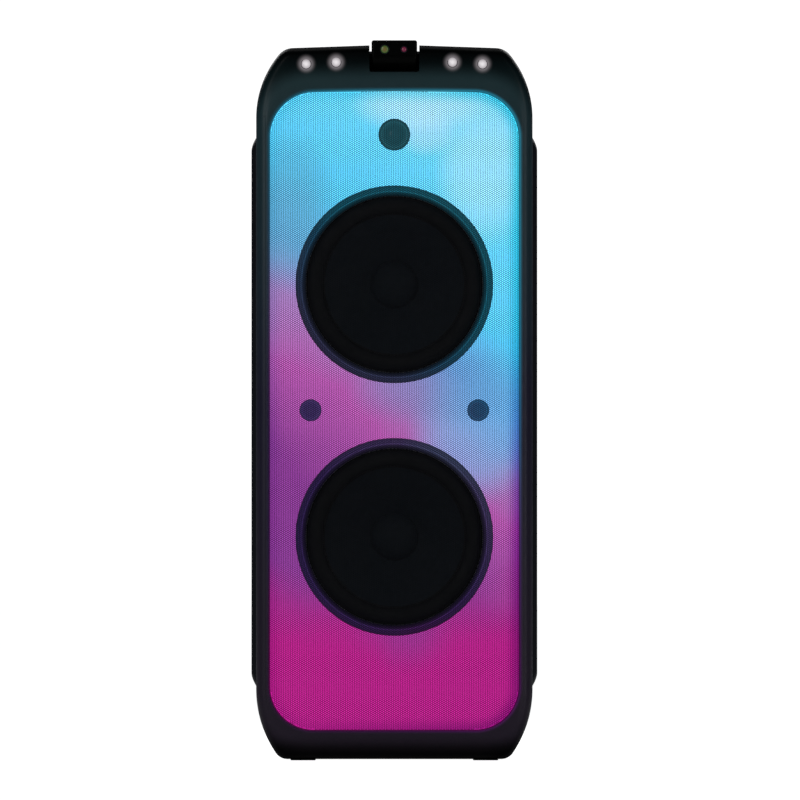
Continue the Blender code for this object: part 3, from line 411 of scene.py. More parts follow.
def loft(name, sections, closed=False, angle=35):
    """A skin through sections of equal point count, capped at both ends unless it runs back to the first."""
    bm = bmesh.new()
    rings = [[bm.verts.new(point) for point in section] for section in sections]
    pairs = list(zip(rings, rings[1:]))
    if closed:
        pairs.append((rings[-1], rings[0]))
    else:
        bm.faces.new(rings[0])
        bm.faces.new(rings[-1])
    for near, far in pairs:
        for i in range(len(near)):
            j = (i + 1) % len(near)
            bm.faces.new((near[i], near[j], far[j], far[i]))
    return from_bmesh(name, bm, angle)


def placed(outline, plane, deep):
    """An outline in the XZ, XY or YZ plane, at a depth along the third axis, as points in space."""
    if plane == "XZ":
        return [(across, deep, up) for across, up in outline]
    if plane == "XY":
        return [(across, up, deep) for across, up in outline]
    return [(deep, across, up) for across, up in outline]


def prism(name, outline, plane, low, high, rounding=0.0, segments=2):
    """An outline thickened from low to high along the third axis, with its edges rounded."""
    thing = loft(name, [placed(outline, plane, low), placed(outline, plane, high)])
    return bevel(thing, rounding, segments) if rounding else thing


def band(name, outer, inner, plane, low, high):
    """A closed frame between an outer and an inner outline of equal point count."""
    corners = ((outer, low), (outer, high), (inner, high), (inner, low))
    return loft(name, [placed(outline, plane, deep) for outline, deep in corners], closed=True)


def whole_faces(mesh):
    """A bmesh with a mesh's doubled points merged and each flat face in one piece."""
    bm = bmesh.new()
    bm.from_mesh(mesh)
    bmesh.ops.remove_doubles(bm, verts=bm.verts, dist=0.000002)
    bmesh.ops.dissolve_limit(bm, angle_limit=math.radians(1), verts=bm.verts, edges=bm.edges)
    return bm


def sheet(name, outlines, plane, low, high, rounding=0.0):
    """A flat piece with holes, or several flat pieces: every outline inside another one is a hole."""
    curve = bpy.data.curves.new(name, "CURVE")
    curve.dimensions = "2D"
    curve.fill_mode = "BOTH"
    curve.extrude = (high - low) / 2
    for outline in outlines:
        spline = curve.splines.new("POLY")
        spline.points.add(len(outline) - 1)
        for point, (across, up) in zip(spline.points, outline):
            point.co = (across, up, 0.0, 1.0)
        spline.use_cyclic_u = True
    drawn = add(name, curve)
    bm = whole_faces(drawn_mesh(drawn))
    bpy.data.objects.remove(drawn)
    for vertex in bm.verts:
        across, up, deep = vertex.co
        vertex.co = placed([(across, up)], plane, deep + (low + high) / 2)[0]
    thing = from_bmesh(name, bm)
    return bevel(thing, rounding, 2) if rounding else thing


def middle(node):
    """The middle of a CAD node's box."""
    low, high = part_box(node)
    return (low + high) / 2


def refined(node, rounding, segments=3):
    """A copy of a CAD node, with its flat faces made whole and its edges rounded."""
    return bevel(from_bmesh(f"{node}_body", whole_faces(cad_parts[node].data)), rounding, segments)


# ---------------------------------------------------------------- materials


class Shader:
    """A new material, and short ways to add nodes to it."""

    def __init__(self, name):
        self.material = bpy.data.materials.new(name)
        self.material.use_nodes = True
        self.tree = self.material.node_tree
        self.principled = self.tree.nodes["Principled BSDF"]
        self.place = self.add("ShaderNodeTexCoord").outputs["Object"]

    def add(self, kind, values=None, **settings):
        """A node with some settings, and with values or links on its inputs."""
        node = self.tree.nodes.new(kind)
        for name, value in settings.items():
            setattr(node, name, value)
        for name, value in (values or {}).items():
            self.put(node.inputs[name], value)
        return node

    def put(self, socket, value):
        """A plain value or a link on an input."""
        if isinstance(value, bpy.types.NodeSocket):
            self.tree.links.new(value, socket)
        else:
            socket.default_value = value

    def set(self, **values):
        """Inputs of the surface's own shader, with _ for the spaces in their names."""
        for name, value in values.items():
            self.put(self.principled.inputs[name.replace("_", " ")], value)
        return self

    def maths(self, operation, first, second=0.0):
        """One sum with two numbers, of which each may come from a node."""
        return self.add("ShaderNodeMath", {0: first, 1: second}, operation=operation).outputs[0]

    def noise(self, scale, detail=4.0, where=None, roughness=0.5):
        """Soft noise round 0.5."""
        values = {"Vector": where or self.place, "Scale": scale, "Detail": detail, "Roughness": roughness}
        return self.add("ShaderNodeTexNoise", values).outputs["Fac"]

    def span(self, value, old_low, old_high, low, high, smooth=False):
        """A value carried from one range to another."""
        values = {"Value": value, "From Min": old_low, "From Max": old_high, "To Min": low, "To Max": high}
        kind = "SMOOTHSTEP" if smooth else "LINEAR"
        return self.add("ShaderNodeMapRange", values, interpolation_type=kind).outputs["Result"]

    def ramp(self, value, stops):
        """A colour read off a ramp of (position, colour) stops."""
        node = self.add("ShaderNodeValToRGB", {"Fac": value})
        elements = node.color_ramp.elements
        while len(elements) < len(stops):
            elements.new(0.5)
        for element, (position, colour) in zip(elements, stops):
            element.position = position
            element.color = (*colour, 1.0)
        return node.outputs["Color"]

    def mix(self, factor, first, second, blend="MIX"):
        """Two colours mixed. A plain colour is three numbers."""
        node = self.add("ShaderNodeMix", data_type="RGBA", blend_type=blend)
        for socket, value in zip((node.inputs[0], node.inputs[6], node.inputs[7]), (factor, first, second)):
            self.put(socket, (*value, 1.0) if isinstance(value, tuple) else value)
        return node.outputs[2]

    def times(self, first, second):
        """The product of two colours."""
        return self.mix(1.0, first, second, blend="MULTIPLY")

    def grey(self, value):
        """A number as a colour."""
        return self.add("ShaderNodeCombineXYZ", {0: value, 1: value, 2: value}).outputs[0]

    def x_and_z(self):
        """The object's own coordinates across and up."""
        axes = self.add("ShaderNodeSeparateXYZ", {"Vector": self.place}).outputs
        return axes["X"], axes["Z"]

    def length(self, vector):
        """How long a vector is."""
        return self.add("ShaderNodeVectorMath", {0: vector}, operation="LENGTH").outputs["Value"]

    def reach(self, across, up):
        """How far a place in a plane is from the origin."""
        return self.length(self.add("ShaderNodeCombineXYZ", {0: across, 1: up}).outputs[0])

    def cells(self, scale, distance="EUCLIDEAN"):
        """Distance to the nearest of many scattered points."""
        values = {"Vector": self.place, "Scale": scale}
        return self.add("ShaderNodeTexVoronoi", values, distance=distance).outputs["Distance"]

    def bump(self, height, distance, strength=1.0, under=None):
        """Normal of a surface with some relief, which may lie on another one."""
        values = {"Height": height, "Distance": distance, "Strength": strength}
        if under:
            values["Normal"] = under
        return self.add("ShaderNodeBump", values).outputs["Normal"]

    def stretched(self, scale):
        """The object's own coordinates, scaled by a different amount along each axis."""
        return self.add("ShaderNodeMapping", {"Vector": self.place, "Scale": scale}).outputs["Vector"]


def scaled(colour, factor):
    """A colour made darker or lighter."""
    return tuple(c * factor for c in colour)


def moulded(name, colour, roughness, grain=1400, depth=0.00004, mottle=0.18, coat=0.0, shine=0.3):
    """A plastic, rubber or paint with a fine grain, and slight changes of tone and gloss over its surface."""
    s = Shader(name)
    tone = s.span(s.noise(9.0), 0.3, 0.7, 0.0, 1.0)
    darker, lighter = scaled(colour, 1 - mottle), scaled(colour, 1 + mottle)
    gloss = s.span(s.noise(55.0, 5.0), 0.3, 0.7, roughness * 0.88, min(1.0, roughness * 1.14))
    s.set(Base_Color=s.mix(tone, darker, lighter), Roughness=gloss)
    s.set(Specular_IOR_Level=shine, Coat_Weight=coat, Coat_Roughness=0.06)
    if depth:
        s.set(Normal=s.bump(s.noise(grain, 2.0), depth))
    return s.material


def light_colours(s, x, z):
    """Colour of the lit panel: cyan above, violet on a slant across the middle, magenta low down."""
    drift = s.span(s.noise(5.5, 2.0), 0.25, 0.75, -0.035, 0.035)
    slant = s.maths("ADD", s.maths("ADD", z, s.maths("MULTIPLY", x, 0.8)), drift)
    stops = [
        (0.05, (0.230, 0.036, 0.270)),
        (0.25, (0.420, 0.085, 0.385)),
        (0.38, (0.345, 0.190, 0.480)),
        (0.52, (0.130, 0.345, 0.700)),
        (0.66, (0.085, 0.560, 0.900)),
        (0.90, (0.130, 0.650, 0.960)),
    ]
    colour = s.ramp(s.span(slant, 0.25, 0.85, 0.0, 1.0), stops)
    depth = s.maths("SUBTRACT", s.maths("ADD", z, drift), s.maths("MULTIPLY", s.maths("ABSOLUTE", x), 0.35))
    low = s.span(depth, 0.20, 0.10, 0.0, 1.0, smooth=True)
    return s.mix(low, colour, (0.430, 0.008, 0.222))


def edge_reach(s, x, z):
    """Distance inwards from the edge of the grille's opening."""
    centre, half = (OPENING_TOP + OPENING_BOTTOM) / 2, (OPENING_TOP - OPENING_BOTTOM) / 2
    share = s.maths("DIVIDE", x, OPENING_HALF_WIDTH)
    crown = s.maths("MULTIPLY", s.maths("POWER", share, 2.0), OPENING_CROWN)
    z = s.maths("ADD", z, s.maths("MULTIPLY", crown, s.span(z, 0.5, 0.6, 0.0, 1.0)))
    out_x = s.maths("SUBTRACT", s.maths("ABSOLUTE", x), OPENING_HALF_WIDTH - OPENING_RADIUS)
    out_z = s.maths("SUBTRACT", s.maths("ABSOLUTE", s.maths("SUBTRACT", z, centre)), half - OPENING_RADIUS)
    length = s.reach(s.maths("MAXIMUM", out_x, 0.0), s.maths("MAXIMUM", out_z, 0.0))
    inside = s.maths("MINIMUM", s.maths("MAXIMUM", out_x, out_z), 0.0)
    return s.maths("SUBTRACT", s.maths("SUBTRACT", OPENING_RADIUS, length), inside)


def front_plastic():
    """Satin plastic of the front frame: dark blue-grey with a painted tint of the panel's light, blue-green
    above and violet low down, and painted shade that makes it darker towards its rim. Painted light round
    each strobe and along the lip of the opening stands in for their glow."""
    s = Shader("front_plastic")
    x, z = s.x_and_z()
    drift = s.span(s.noise(6.0), 0.0, 1.0, -0.08, 0.08)
    level = s.span(s.maths("ADD", z, drift), 0.1, 0.9, 0.0, 1.0)
    # The ramp mixes the plastic's own dark blue-grey with a painted tint of the panel's light: violet low
    # down, blue-green above.
    stops = [
        (0.00, (0.0250, 0.0180, 0.0310)),
        (0.45, (0.0175, 0.0160, 0.0360)),
        (0.70, (0.0180, 0.0380, 0.0500)),
        (1.00, (0.0200, 0.0480, 0.0530)),
    ]
    colour = s.ramp(level, stops)
    # Painted shade: darker towards the top and bottom edges and towards the outer rim, where the rounding
    # turns away from the light.
    top = s.span(z, OPENING_TOP + 0.006, BEZEL_TOP - 0.006, 1.0, 0.05, smooth=True)
    bottom = s.span(z, OPENING_BOTTOM - 0.004, OPENING_BOTTOM - 0.026, 1.0, 0.10, smooth=True)
    edge = edge_reach(s, x, z)
    far = s.span(edge, -0.036, -0.014, 0.35, 1.0, smooth=True)
    painted_shade_level = s.maths("MULTIPLY", s.maths("MULTIPLY", top, bottom), far)
    colour = s.times(colour, s.grey(painted_shade_level))
    # Painted reflection of the panel's light on the lip of the opening, tinted teal and stronger on the
    # right.
    lip = s.maths("POWER", s.span(edge, -0.0045, 0.0, 0.0, 1.0), 2.0)
    lip = s.maths("MULTIPLY", lip, s.span(x, -0.15, 0.15, 0.10, 0.36))
    painted_lip_light = s.times(s.times(light_colours(s, x, z), (0.30, 0.76, 0.78)), s.grey(lip))
    # Painted light round each strobe, as emission on the frame, standing in for the light that the lens
    # throws on it.
    painted_strobe_spill = 0.0
    for number in range(1, 5):
        centre = middle(f"strobe_lens_{number}")
        away = s.reach(s.maths("SUBTRACT", x, centre.x), s.maths("SUBTRACT", z, centre.z))
        near = s.span(away, STROBE_RADIUS * 0.8, STROBE_RADIUS * 2.4, 1.0, 0.0, smooth=True)
        painted_strobe_spill = s.maths("ADD", s.maths("POWER", near, 2.0), painted_strobe_spill)
    gloss = s.span(s.noise(70.0, 5.0), 0.3, 0.7, 0.34, 0.42)
    s.set(Base_Color=colour, Roughness=gloss, Normal=s.bump(s.noise(1800, 2.0), 0.000018))
    s.set(Specular_IOR_Level=s.span(edge, -0.036, -0.014, 0.04, 0.18))
    # The painted strobe light and the painted lip light go on as emission; the frame is no lamp.
    glow = s.mix(painted_strobe_spill, (0.0, 0.0, 0.0), (0.208, 0.188, 0.200))
    s.set(Emission_Color=s.mix(1.0, glow, painted_lip_light, blend="ADD"), Emission_Strength=1.0)
    return s.material


def textured_plastic(name, colour, roughness=0.55):
    """Moulded plastic with a spark-eroded texture of tiny rounded pits."""
    s = Shader(name)
    fine = s.bump(s.noise(2600, 2.0), 0.00003)
    tone = s.span(s.noise(7.0, 5.0), 0.3, 0.7, 0.0, 1.0)
    s.set(Base_Color=s.mix(tone, scaled(colour, 0.82), scaled(colour, 1.2)))
    s.set(Roughness=s.span(s.noise(90.0, 4.0), 0.3, 0.7, roughness - 0.06, roughness + 0.07))
    s.set(Normal=s.bump(s.cells(900.0), 0.0001, under=fine), Specular_IOR_Level=0.2)
    return s.material


def brushed(name, colour, roughness, stretch=(40.0, 40.0, 1800.0), depth=0.00001):
    """Metal with fine drawn lines across the stretched axis."""
    s = Shader(name)
    lines = s.noise(1.0, 3.0, s.stretched(stretch))
    s.set(Base_Color=s.mix(lines, scaled(colour, 0.85), scaled(colour, 1.1)))
    s.set(Roughness=s.span(lines, 0.3, 0.7, roughness * 0.8, roughness * 1.25), Metallic=1.0)
    s.set(Normal=s.bump(lines, depth))
    return s.material


def paper_cone():
    """Coated paper pulp with short fibres."""
    s = Shader("coated_paper")
    fibres = s.noise(420.0, 6.0, roughness=0.7)
    s.set(Base_Color=s.mix(fibres, (0.0040, 0.0070, 0.0096), (0.0128, 0.0185, 0.0260)))
    s.set(Specular_IOR_Level=0.12)
    s.set(Roughness=s.span(fibres, 0.3, 0.7, 0.55, 0.8), Normal=s.bump(fibres, 0.00015))
    return s.material


def fibreboard():
    """Board with a thin coat of black paint, which its fibres show through."""
    s = Shader("painted_board")
    fibres = s.noise(1.0, 5.0, s.stretched((300.0, 900.0, 120.0)))
    bare = s.span(s.noise(38.0, 6.0), 0.66, 0.74, 0.0, 0.6)
    paint = s.mix(fibres, (0.008, 0.008, 0.009), (0.022, 0.021, 0.020))
    s.set(Base_Color=s.mix(bare, paint, (0.085, 0.060, 0.036)))
    s.set(Roughness=s.span(fibres, 0.3, 0.7, 0.6, 0.85), Normal=s.bump(fibres, 0.0001))
    return s.material


def circuit_board():
    """Green solder mask over a pattern of tracks."""
    s = Shader("solder_mask")
    tracks = s.span(s.cells(160.0, "MANHATTAN"), 0.30, 0.34, 0.0, 1.0)
    s.set(Base_Color=s.mix(tracks, (0.010, 0.075, 0.035), (0.016, 0.125, 0.055)))
    s.set(Roughness=s.span(s.noise(60.0), 0.3, 0.7, 0.3, 0.42), Normal=s.bump(tracks, 0.00004))
    return s.material


def panel_light():
    """The lit diffuser: its colours, some brighter pools, a deeper border and an unlit margin."""
    s = Shader("panel_light")
    x, z = s.x_and_z()
    colour = light_colours(s, x, z)
    for across, up, wide, tall, strength, tint in (
        (-0.135, 0.700, 0.070, 0.110, 0.60, (0.10, 0.37, 0.55)),
        (0.115, 0.755, 0.070, 0.110, 0.62, (0.39, 0.78, 0.98)),
        (0.040, 0.800, 0.042, 0.036, 0.42, (0.52, 0.76, 0.94)),
        (0.032, 0.834, 0.095, 0.042, 0.75, (0.44, 0.78, 1.00)),
        (0.100, 0.412, 0.090, 0.096, 0.56, (0.14, 0.45, 0.79)),
        (0.060, 0.476, 0.125, 0.060, 0.42, (0.11, 0.25, 0.52)),
    ):
        across_part = s.maths("POWER", s.maths("DIVIDE", s.maths("SUBTRACT", x, across), wide), 2.0)
        up_part = s.maths("POWER", s.maths("DIVIDE", s.maths("SUBTRACT", z, up), tall), 2.0)
        spot = s.span(s.maths("ADD", across_part, up_part), 0.0, 1.0, strength, 0.0, smooth=True)
        colour = s.mix(spot, colour, tint)
    edge = edge_reach(s, x, z)
    upper = s.span(z, 0.30, 0.55, 0.0, 1.0)
    deeper = s.mix(upper, (0.50, 0.12, 0.66), (0.13, 0.76, 0.76))
    border = s.span(edge, 0.001, 0.020, 0.95, 0.0, smooth=True)
    border = s.maths("MULTIPLY", border, s.span(x, -0.15, 0.15, 0.3, 1.0))
    colour = s.times(colour, s.mix(border, (1.0, 1.0, 1.0), deeper))
    lit = s.grey(s.span(edge, 0.0, 0.0022, 0.10, 1.0, smooth=True))
    s.set(Base_Color=(0.02, 0.02, 0.025, 1.0), Roughness=s.span(s.noise(40.0), 0.3, 0.7, 0.4, 0.5))
    s.set(Emission_Color=s.times(colour, lit), Emission_Strength=1.6)
    return s.material


def painted_glow_plastic(name, centre_x, centre_z, inner, outer, levels, tint):
    """Dark trim plastic with painted light in the panel's colours, which stands in for the panel's light on
    it, by (position, level) pairs from an inner to an outer radius. The object's origin is its middle."""
    s = Shader(name)
    x, z = s.x_and_z()
    colour = light_colours(s, s.maths("ADD", x, centre_x), s.maths("ADD", z, centre_z))
    share = s.span(s.reach(x, z), inner, outer, 0.0, 1.0)
    glow = s.ramp(share, [(at, (level,) * 3) for at, level in levels])
    s.set(Base_Color=(0.004, 0.005, 0.007, 1.0), Roughness=s.span(s.noise(90.0), 0.3, 0.7, 0.25, 0.33))
    # The emission is painted light: the trim is no lamp.
    s.set(Emission_Color=s.times(s.times(colour, tint), glow), Emission_Strength=1.0)
    s.set(Specular_IOR_Level=0.2)
    return s.material


def lamp(name, core, rim, strength, radius):
    """A lit lens, brighter in the middle. Its object's origin is at the middle of the lens."""
    s = Shader(name)
    uneven = s.span(s.noise(900.0), 0.0, 1.0, -0.0006, 0.0006)
    fall = s.span(s.maths("ADD", s.length(s.place), uneven), radius * 0.35, radius, 0.0, 1.0)
    s.set(Base_Color=(0.02, 0.02, 0.02, 1.0), Roughness=s.span(s.noise(300.0), 0.3, 0.7, 0.25, 0.35))
    s.set(Emission_Color=s.mix(fall, core, rim), Emission_Strength=strength)
    return s.material


BEZEL = front_plastic()
SHELL = textured_plastic("cabinet_plastic", (0.0100, 0.0110, 0.0135), 0.52)
PAD = textured_plastic("pad_plastic", (0.0045, 0.0060, 0.0100), 0.46)
SATIN = moulded("satin_black", (0.0042, 0.0046, 0.0056), 0.40, depth=0.00001, shine=0.12)
LASER_BLACK = moulded("laser_plastic", (0.0010, 0.0012, 0.0009), 0.32, depth=0, shine=0.05)
TRIM = moulded("trim_plastic", (0.012, 0.013, 0.018), 0.30, depth=0.00001)
CONTROL = moulded("control_plastic", (0.030, 0.032, 0.036), 0.40)
RUBBER = moulded("rubber", (0.0060, 0.0065, 0.0075), 0.72, grain=1800, depth=0.00009, shine=0.15)
TYRE = moulded("tyre_rubber", (0.014, 0.014, 0.015), 0.80, grain=900, depth=0.00012, mottle=0.3)
GRILLE = moulded("grille_paint", (0.0030, 0.0036, 0.0050), 0.42, grain=2500, depth=0.00001, shine=0.15)
AMP_PAINT = moulded("powder_coat", (0.016, 0.017, 0.019), 0.50, grain=1600, depth=0.00012)
BATTERY = moulded("shrink_wrap", (0.015, 0.06, 0.19), 0.28, grain=120, depth=0.0002, coat=0.3)
MARK = moulded("printed_mark", (0.52, 0.53, 0.54), 0.5, depth=0.00001, mottle=0.06)
STEEL = brushed("plated_steel", (0.46, 0.46, 0.47), 0.30)
CHROME = brushed("chrome", (0.72, 0.73, 0.75), 0.09, stretch=(500.0, 500.0, 15.0), depth=0.000002)
ALUMINIUM = brushed("folded_aluminium", (0.56, 0.57, 0.58), 0.38)
FERRITE = moulded("ferrite", (0.035, 0.035, 0.037), 0.62, grain=500, depth=0.0002, mottle=0.3)
SCREW = brushed("black_screw", (0.045, 0.045, 0.05), 0.34)
CONE = paper_cone()
BOARD = fibreboard()
CIRCUIT = circuit_board()
PANEL_LIGHT = panel_light()
STROBE = lamp("strobe_light", (0.80, 0.77, 0.79), (0.30, 0.27, 0.29), 1.0, STROBE_RADIUS)
GREEN = lamp("green_light", (0.105, 0.082, 0.012), (0.020, 0.070, 0.008), 1.0, LASER_LENSES["green"])
DISPLAY = lamp("display_light", (0.05, 0.45, 0.60), (0.03, 0.25, 0.45), 1.2, 1.0)
LIGHT_DOT = lamp("board_light", (0.75, 0.85, 1.0), (0.6, 0.7, 1.0), 1.0, 1.0)
RED = lamp("red_light", (0.155, 0.004, 0.035), (0.070, 0.003, 0.020), 1.0, LASER_LENSES["red"])


def even_normals(thing):
    """Keeps flat faces flat where they meet a rounded edge."""
    modifier = thing.modifiers.new("normals", "WEIGHTED_NORMAL")
    modifier.keep_sharp = True
    modifier.weight = 100
    bake(thing)


def dress(thing, material, body="cabinet", stands_for=()):
    """Gives a piece its material and body, and hides the CAD nodes that it stands for."""
    if len(thing.data.polygons) < 60000:
        even_normals(thing)
    thing.data.materials.clear()
    thing.data.materials.append(material)
    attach(thing, body)
    if stands_for:
        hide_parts(*stands_for)
    return thing


def finish_node(name, material):
    """A better material on a CAD node that keeps its own shape."""
    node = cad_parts[name]
    node.data.materials.clear()
    node.data.materials.append(material)


# ---------------------------------------------------------------- front frame


def between(outer, inner, share):
    """An outline part of the way from one to another of equal point count."""
    return [(a[0] + (b[0] - a[0]) * share, a[1] + (b[1] - a[1]) * share) for a, b in zip(outer, inner)]


def build_bezel():
    """Front frame, with a broad rounding outside, a crowned face and a small lip round the opening."""
    width, depth = 0.0115, 0.0175
    sections = [at_y(bezel_outline(0.0008), BEZEL_BACK), at_y(bezel_outline(), BEZEL_BACK - 0.0008)]
    for step in range(11):
        turn = math.pi / 2 * step / 10
        inset = width * (1 - math.cos(turn))
        sections.append(at_y(bezel_outline(inset), BEZEL_FRONT + 0.0012 + depth * (1 - math.sin(turn))))
    lip = 0.0016
    for step in range(1, 7):
        share = step / 6
        outline = between(bezel_outline(width), opening_outline(-lip), share)
        sections.append(at_y(outline, BEZEL_FRONT + 0.0012 * (1 - share) ** 2))
    for step in range(1, 6):
        turn = math.pi / 2 * step / 5
        outline = opening_outline(-lip * (1 - math.sin(turn)))
        sections.append(at_y(outline, BEZEL_FRONT + lip * (1 - math.cos(turn))))
    sections.append(at_y(opening_outline(), FRAME_BACK))
    sections.append(at_y(bezel_outline(BEZEL_WALL), FRAME_BACK))
    sections.append(at_y(bezel_outline(BEZEL_WALL), BAFFLE_FRONT - 0.008))
    sections.append(at_y(cabinet_outline(-SKIRT_FIT), BAFFLE_FRONT - 0.0015))
    sections.append(at_y(cabinet_outline(-SKIRT_FIT), BEZEL_BACK))
    bezel = loft("bezel", sections, closed=True)
    cheek = NOTCH_HALF_WIDTH + NOTCH_CHEEK
    seat = block(
        "seat",
        (-cheek, FRAME_BACK - 0.004, NOTCH_BOTTOM - 0.007),
        (cheek, BAFFLE_FRONT - 0.001, BEZEL_TOP - 0.0035),
    )
    combine(bezel, [seat], "UNION")
    notch_end = (NOTCH_HALF_WIDTH, BEZEL_TOP + 0.03)
    outline = rounded_rectangle((-NOTCH_HALF_WIDTH, NOTCH_BOTTOM), notch_end, 0.0025)
    tools = [prism("notch", outline, "XZ", BEZEL_FRONT - 0.01, BEZEL_BACK + 0.01)]
    reach = Vector((NOTCH_HALF_WIDTH + 0.0045, 0.0, 0.0))
    tools.append(rod("pin_hole", LASER_PIN + 0.0005, LASER_PIVOT - reach, LASER_PIVOT + reach))
    bore, flared = STROBE_RADIUS + 0.0003, STROBE_RADIUS + 0.0019
    flare = [(0.0, -0.03), (bore, -0.03), (bore, -0.0016), (flared, 0.0004), (flared, 0.004), (0.0, 0.004)]
    for number in range(1, 5):
        centre = middle(f"strobe_lens_{number}")
        place = (centre.x, BEZEL_FRONT, centre.z)
        tools.append(turned(f"strobe_hole_{number}", flare, place, FORWARD, 64))
    for side in (-1, 1):
        inner, outer = sorted((side * (OPENING_HALF_WIDTH + 0.0035), side * 0.19))
        low = (inner, BEZEL_FRONT - 0.004, SEAM_HEIGHT)
        high = (outer, BEZEL_FRONT + 0.0017, SEAM_HEIGHT + 0.0003)
        tools.append(block(f"seam_{side}", low, high))
    combine(bezel, tools)
    dress(bezel, BEZEL, stands_for=["front_bezel"])


def edge_distance(x, z):
    """How far a point lies inside the grille's opening."""
    z = z + np.where(z > 0.5, crown_drop(x), 0.0)
    centre, half = (OPENING_TOP + OPENING_BOTTOM) / 2, (OPENING_TOP - OPENING_BOTTOM) / 2
    out_x = np.abs(x) - OPENING_HALF_WIDTH + OPENING_RADIUS
    out_z = np.abs(z - centre) - half + OPENING_RADIUS
    round_part = np.hypot(np.maximum(out_x, 0), np.maximum(out_z, 0))
    return OPENING_RADIUS - round_part - np.minimum(np.maximum(out_x, out_z), 0)


def grille_depth(x, distance):
    """Y of the grille's face: slightly pillowed, and rolled back round its edge."""
    pillow = 0.0012 * (x / OPENING_HALF_WIDTH) ** 2
    shortfall = np.clip(GRILLE_ROLL - (distance - GRILLE_EDGE), 0, GRILLE_ROLL * 0.999)
    return GRILLE_FRONT + pillow + GRILLE_ROLL - np.sqrt(GRILLE_ROLL**2 - shortfall**2)


def build_grille():
    """Steel sheet with close-packed hexagonal holes in upright columns, in bands, and its rolled rim."""
    column_pitch = HOLE_PITCH * math.sin(math.radians(60))
    half_columns = int(OPENING_HALF_WIDTH / column_pitch) + 1
    rows = int((OPENING_TOP - OPENING_BOTTOM) / HOLE_PITCH) + 2
    i, j = np.meshgrid(np.arange(2 * half_columns + 1), np.arange(rows), indexing="ij")
    centre_x = (i - half_columns) * column_pitch
    centre_z = OPENING_BOTTOM + (j + 0.5 * (i % 2)) * HOLE_PITCH
    kept = edge_distance(centre_x, centre_z) > GRILLE_EDGE + 0.0005
    order = np.full(kept.shape, -1)
    order[kept] = np.arange(kept.sum())
    angles = np.radians(60.0 * np.arange(6))
    reach = HOLE_WIDTH / math.sqrt(3)
    x = (centre_x[kept][:, None] + reach * np.cos(angles)).ravel()
    z = (centre_z[kept][:, None] + reach * np.sin(angles)).ravel()
    distance = np.maximum(edge_distance(x, z), GRILLE_EDGE)
    points = np.column_stack((x, grille_depth(x, distance), z))

    def neighbour(step_i, rises):
        """Order of the hole one column over and half a pitch up, or one row up in the same column."""
        over = np.full(kept.shape, -1)
        to_i = i + step_i
        to_j = j + np.where(step_i == 0, 1, i % 2) * rises
        inside = (to_i >= 0) & (to_i < kept.shape[0]) & (to_j < kept.shape[1])
        over[inside] = order[to_i[inside], to_j[inside]]
        return over[kept]

    here = np.arange(kept.sum())
    right, above, left = neighbour(1, 1), neighbour(0, 1), neighbour(-1, 1)

    def faces(*corners):
        """Faces with a corner at each (hole, vertex) pair, where every hole exists."""
        exist = np.all([hole >= 0 for hole, _ in corners], axis=0)
        table = np.column_stack([hole * 6 + vertex for hole, vertex in corners])
        return [(h, f) for h, f in zip(here[exist], table[exist].tolist())]

    webs = faces((here, 0), (right, 4), (right, 3), (here, 1))
    webs += faces((here, 1), (above, 5), (above, 4), (here, 2))
    webs += faces((here, 2), (left, 0), (left, 5), (here, 3))
    webs += faces((here, 1), (right, 3), (above, 5))
    webs += faces((here, 2), (above, 4), (left, 0))
    hole_z = centre_z[kept]
    edges = np.linspace(OPENING_BOTTOM - 0.01, OPENING_TOP + 0.01, GRILLE_BANDS + 1)
    for number, (lowest, highest) in enumerate(zip(edges, edges[1:]), 1):
        chosen = [f for h, f in webs if lowest <= hole_z[h] < highest]
        used = sorted({v for f in chosen for v in f})
        place = {v: n for n, v in enumerate(used)}
        name = f"grille_sheet_{number}"
        mesh = bpy.data.meshes.new(name)
        mesh.from_pydata(points[used].tolist(), [], [[place[v] for v in f] for f in chosen])
        part = add(name, mesh)
        shade(part, 60)
        dress(part, GRILLE, stands_for=["grille"])
    build_grille_rim()


def build_grille_rim():
    """Folded rim of the grille, which laps the sheet's edge."""

    def section(distance, lift):
        """The rim's outline at a distance from the opening, a little off the grille's face."""
        outline = opening_outline(distance)
        return [(x, float(grille_depth(x, distance)) + lift, z) for x, z in outline]

    proud = -0.00015
    sections = [section(GRILLE_EDGE + step, proud) for step in (0.0007, 0.0005, 0.0003, 0.0001)]
    sections.append(at_y(opening_outline(GRILLE_EDGE), -0.1690))
    sections.append(at_y(opening_outline(GRILLE_EDGE), GRILLE_BACK))
    sections.append(at_y(opening_outline(GRILLE_EDGE + 0.0004), GRILLE_BACK))
    sections += [section(GRILLE_EDGE + step, 0.0009) for step in (0.0005, 0.0007)]
    rim = loft("grille_rim", sections, closed=True)
    dress(rim, GRILLE)


def build_light_panel():
    """Diffuser with a round window for each driver, and the board of lights behind it."""
    windows = [circle(0.0, z, WOOFER_WINDOW, 192) for z in WOOFER_HEIGHTS.values()]
    windows += [circle(x, z, mouth) for x, z, mouth, _ in TWEETERS.values()]
    outlines = [opening_outline(-0.003)] + windows
    diffuser = sheet("diffuser", outlines, "XZ", FRAME_BACK + GAP, FRAME_BACK + 0.003, 0.0004)
    dress(diffuser, PANEL_LIGHT, stands_for=["light_panel"])
    finish_node("light_board", CIRCUIT)


def lens_dome(name, radius, rise, foot, turns, place):
    """Domed lens that faces forward. Its origin is at its place."""
    dome = [(0.0, -foot), (radius, -foot), (radius, 0.0)]
    dome += [(radius * math.cos(a), rise * math.sin(a)) for a in turns]
    lens = turned(name, dome + [(0.0, rise)], ORIGIN, FORWARD, 48)
    lens.location = place
    return lens


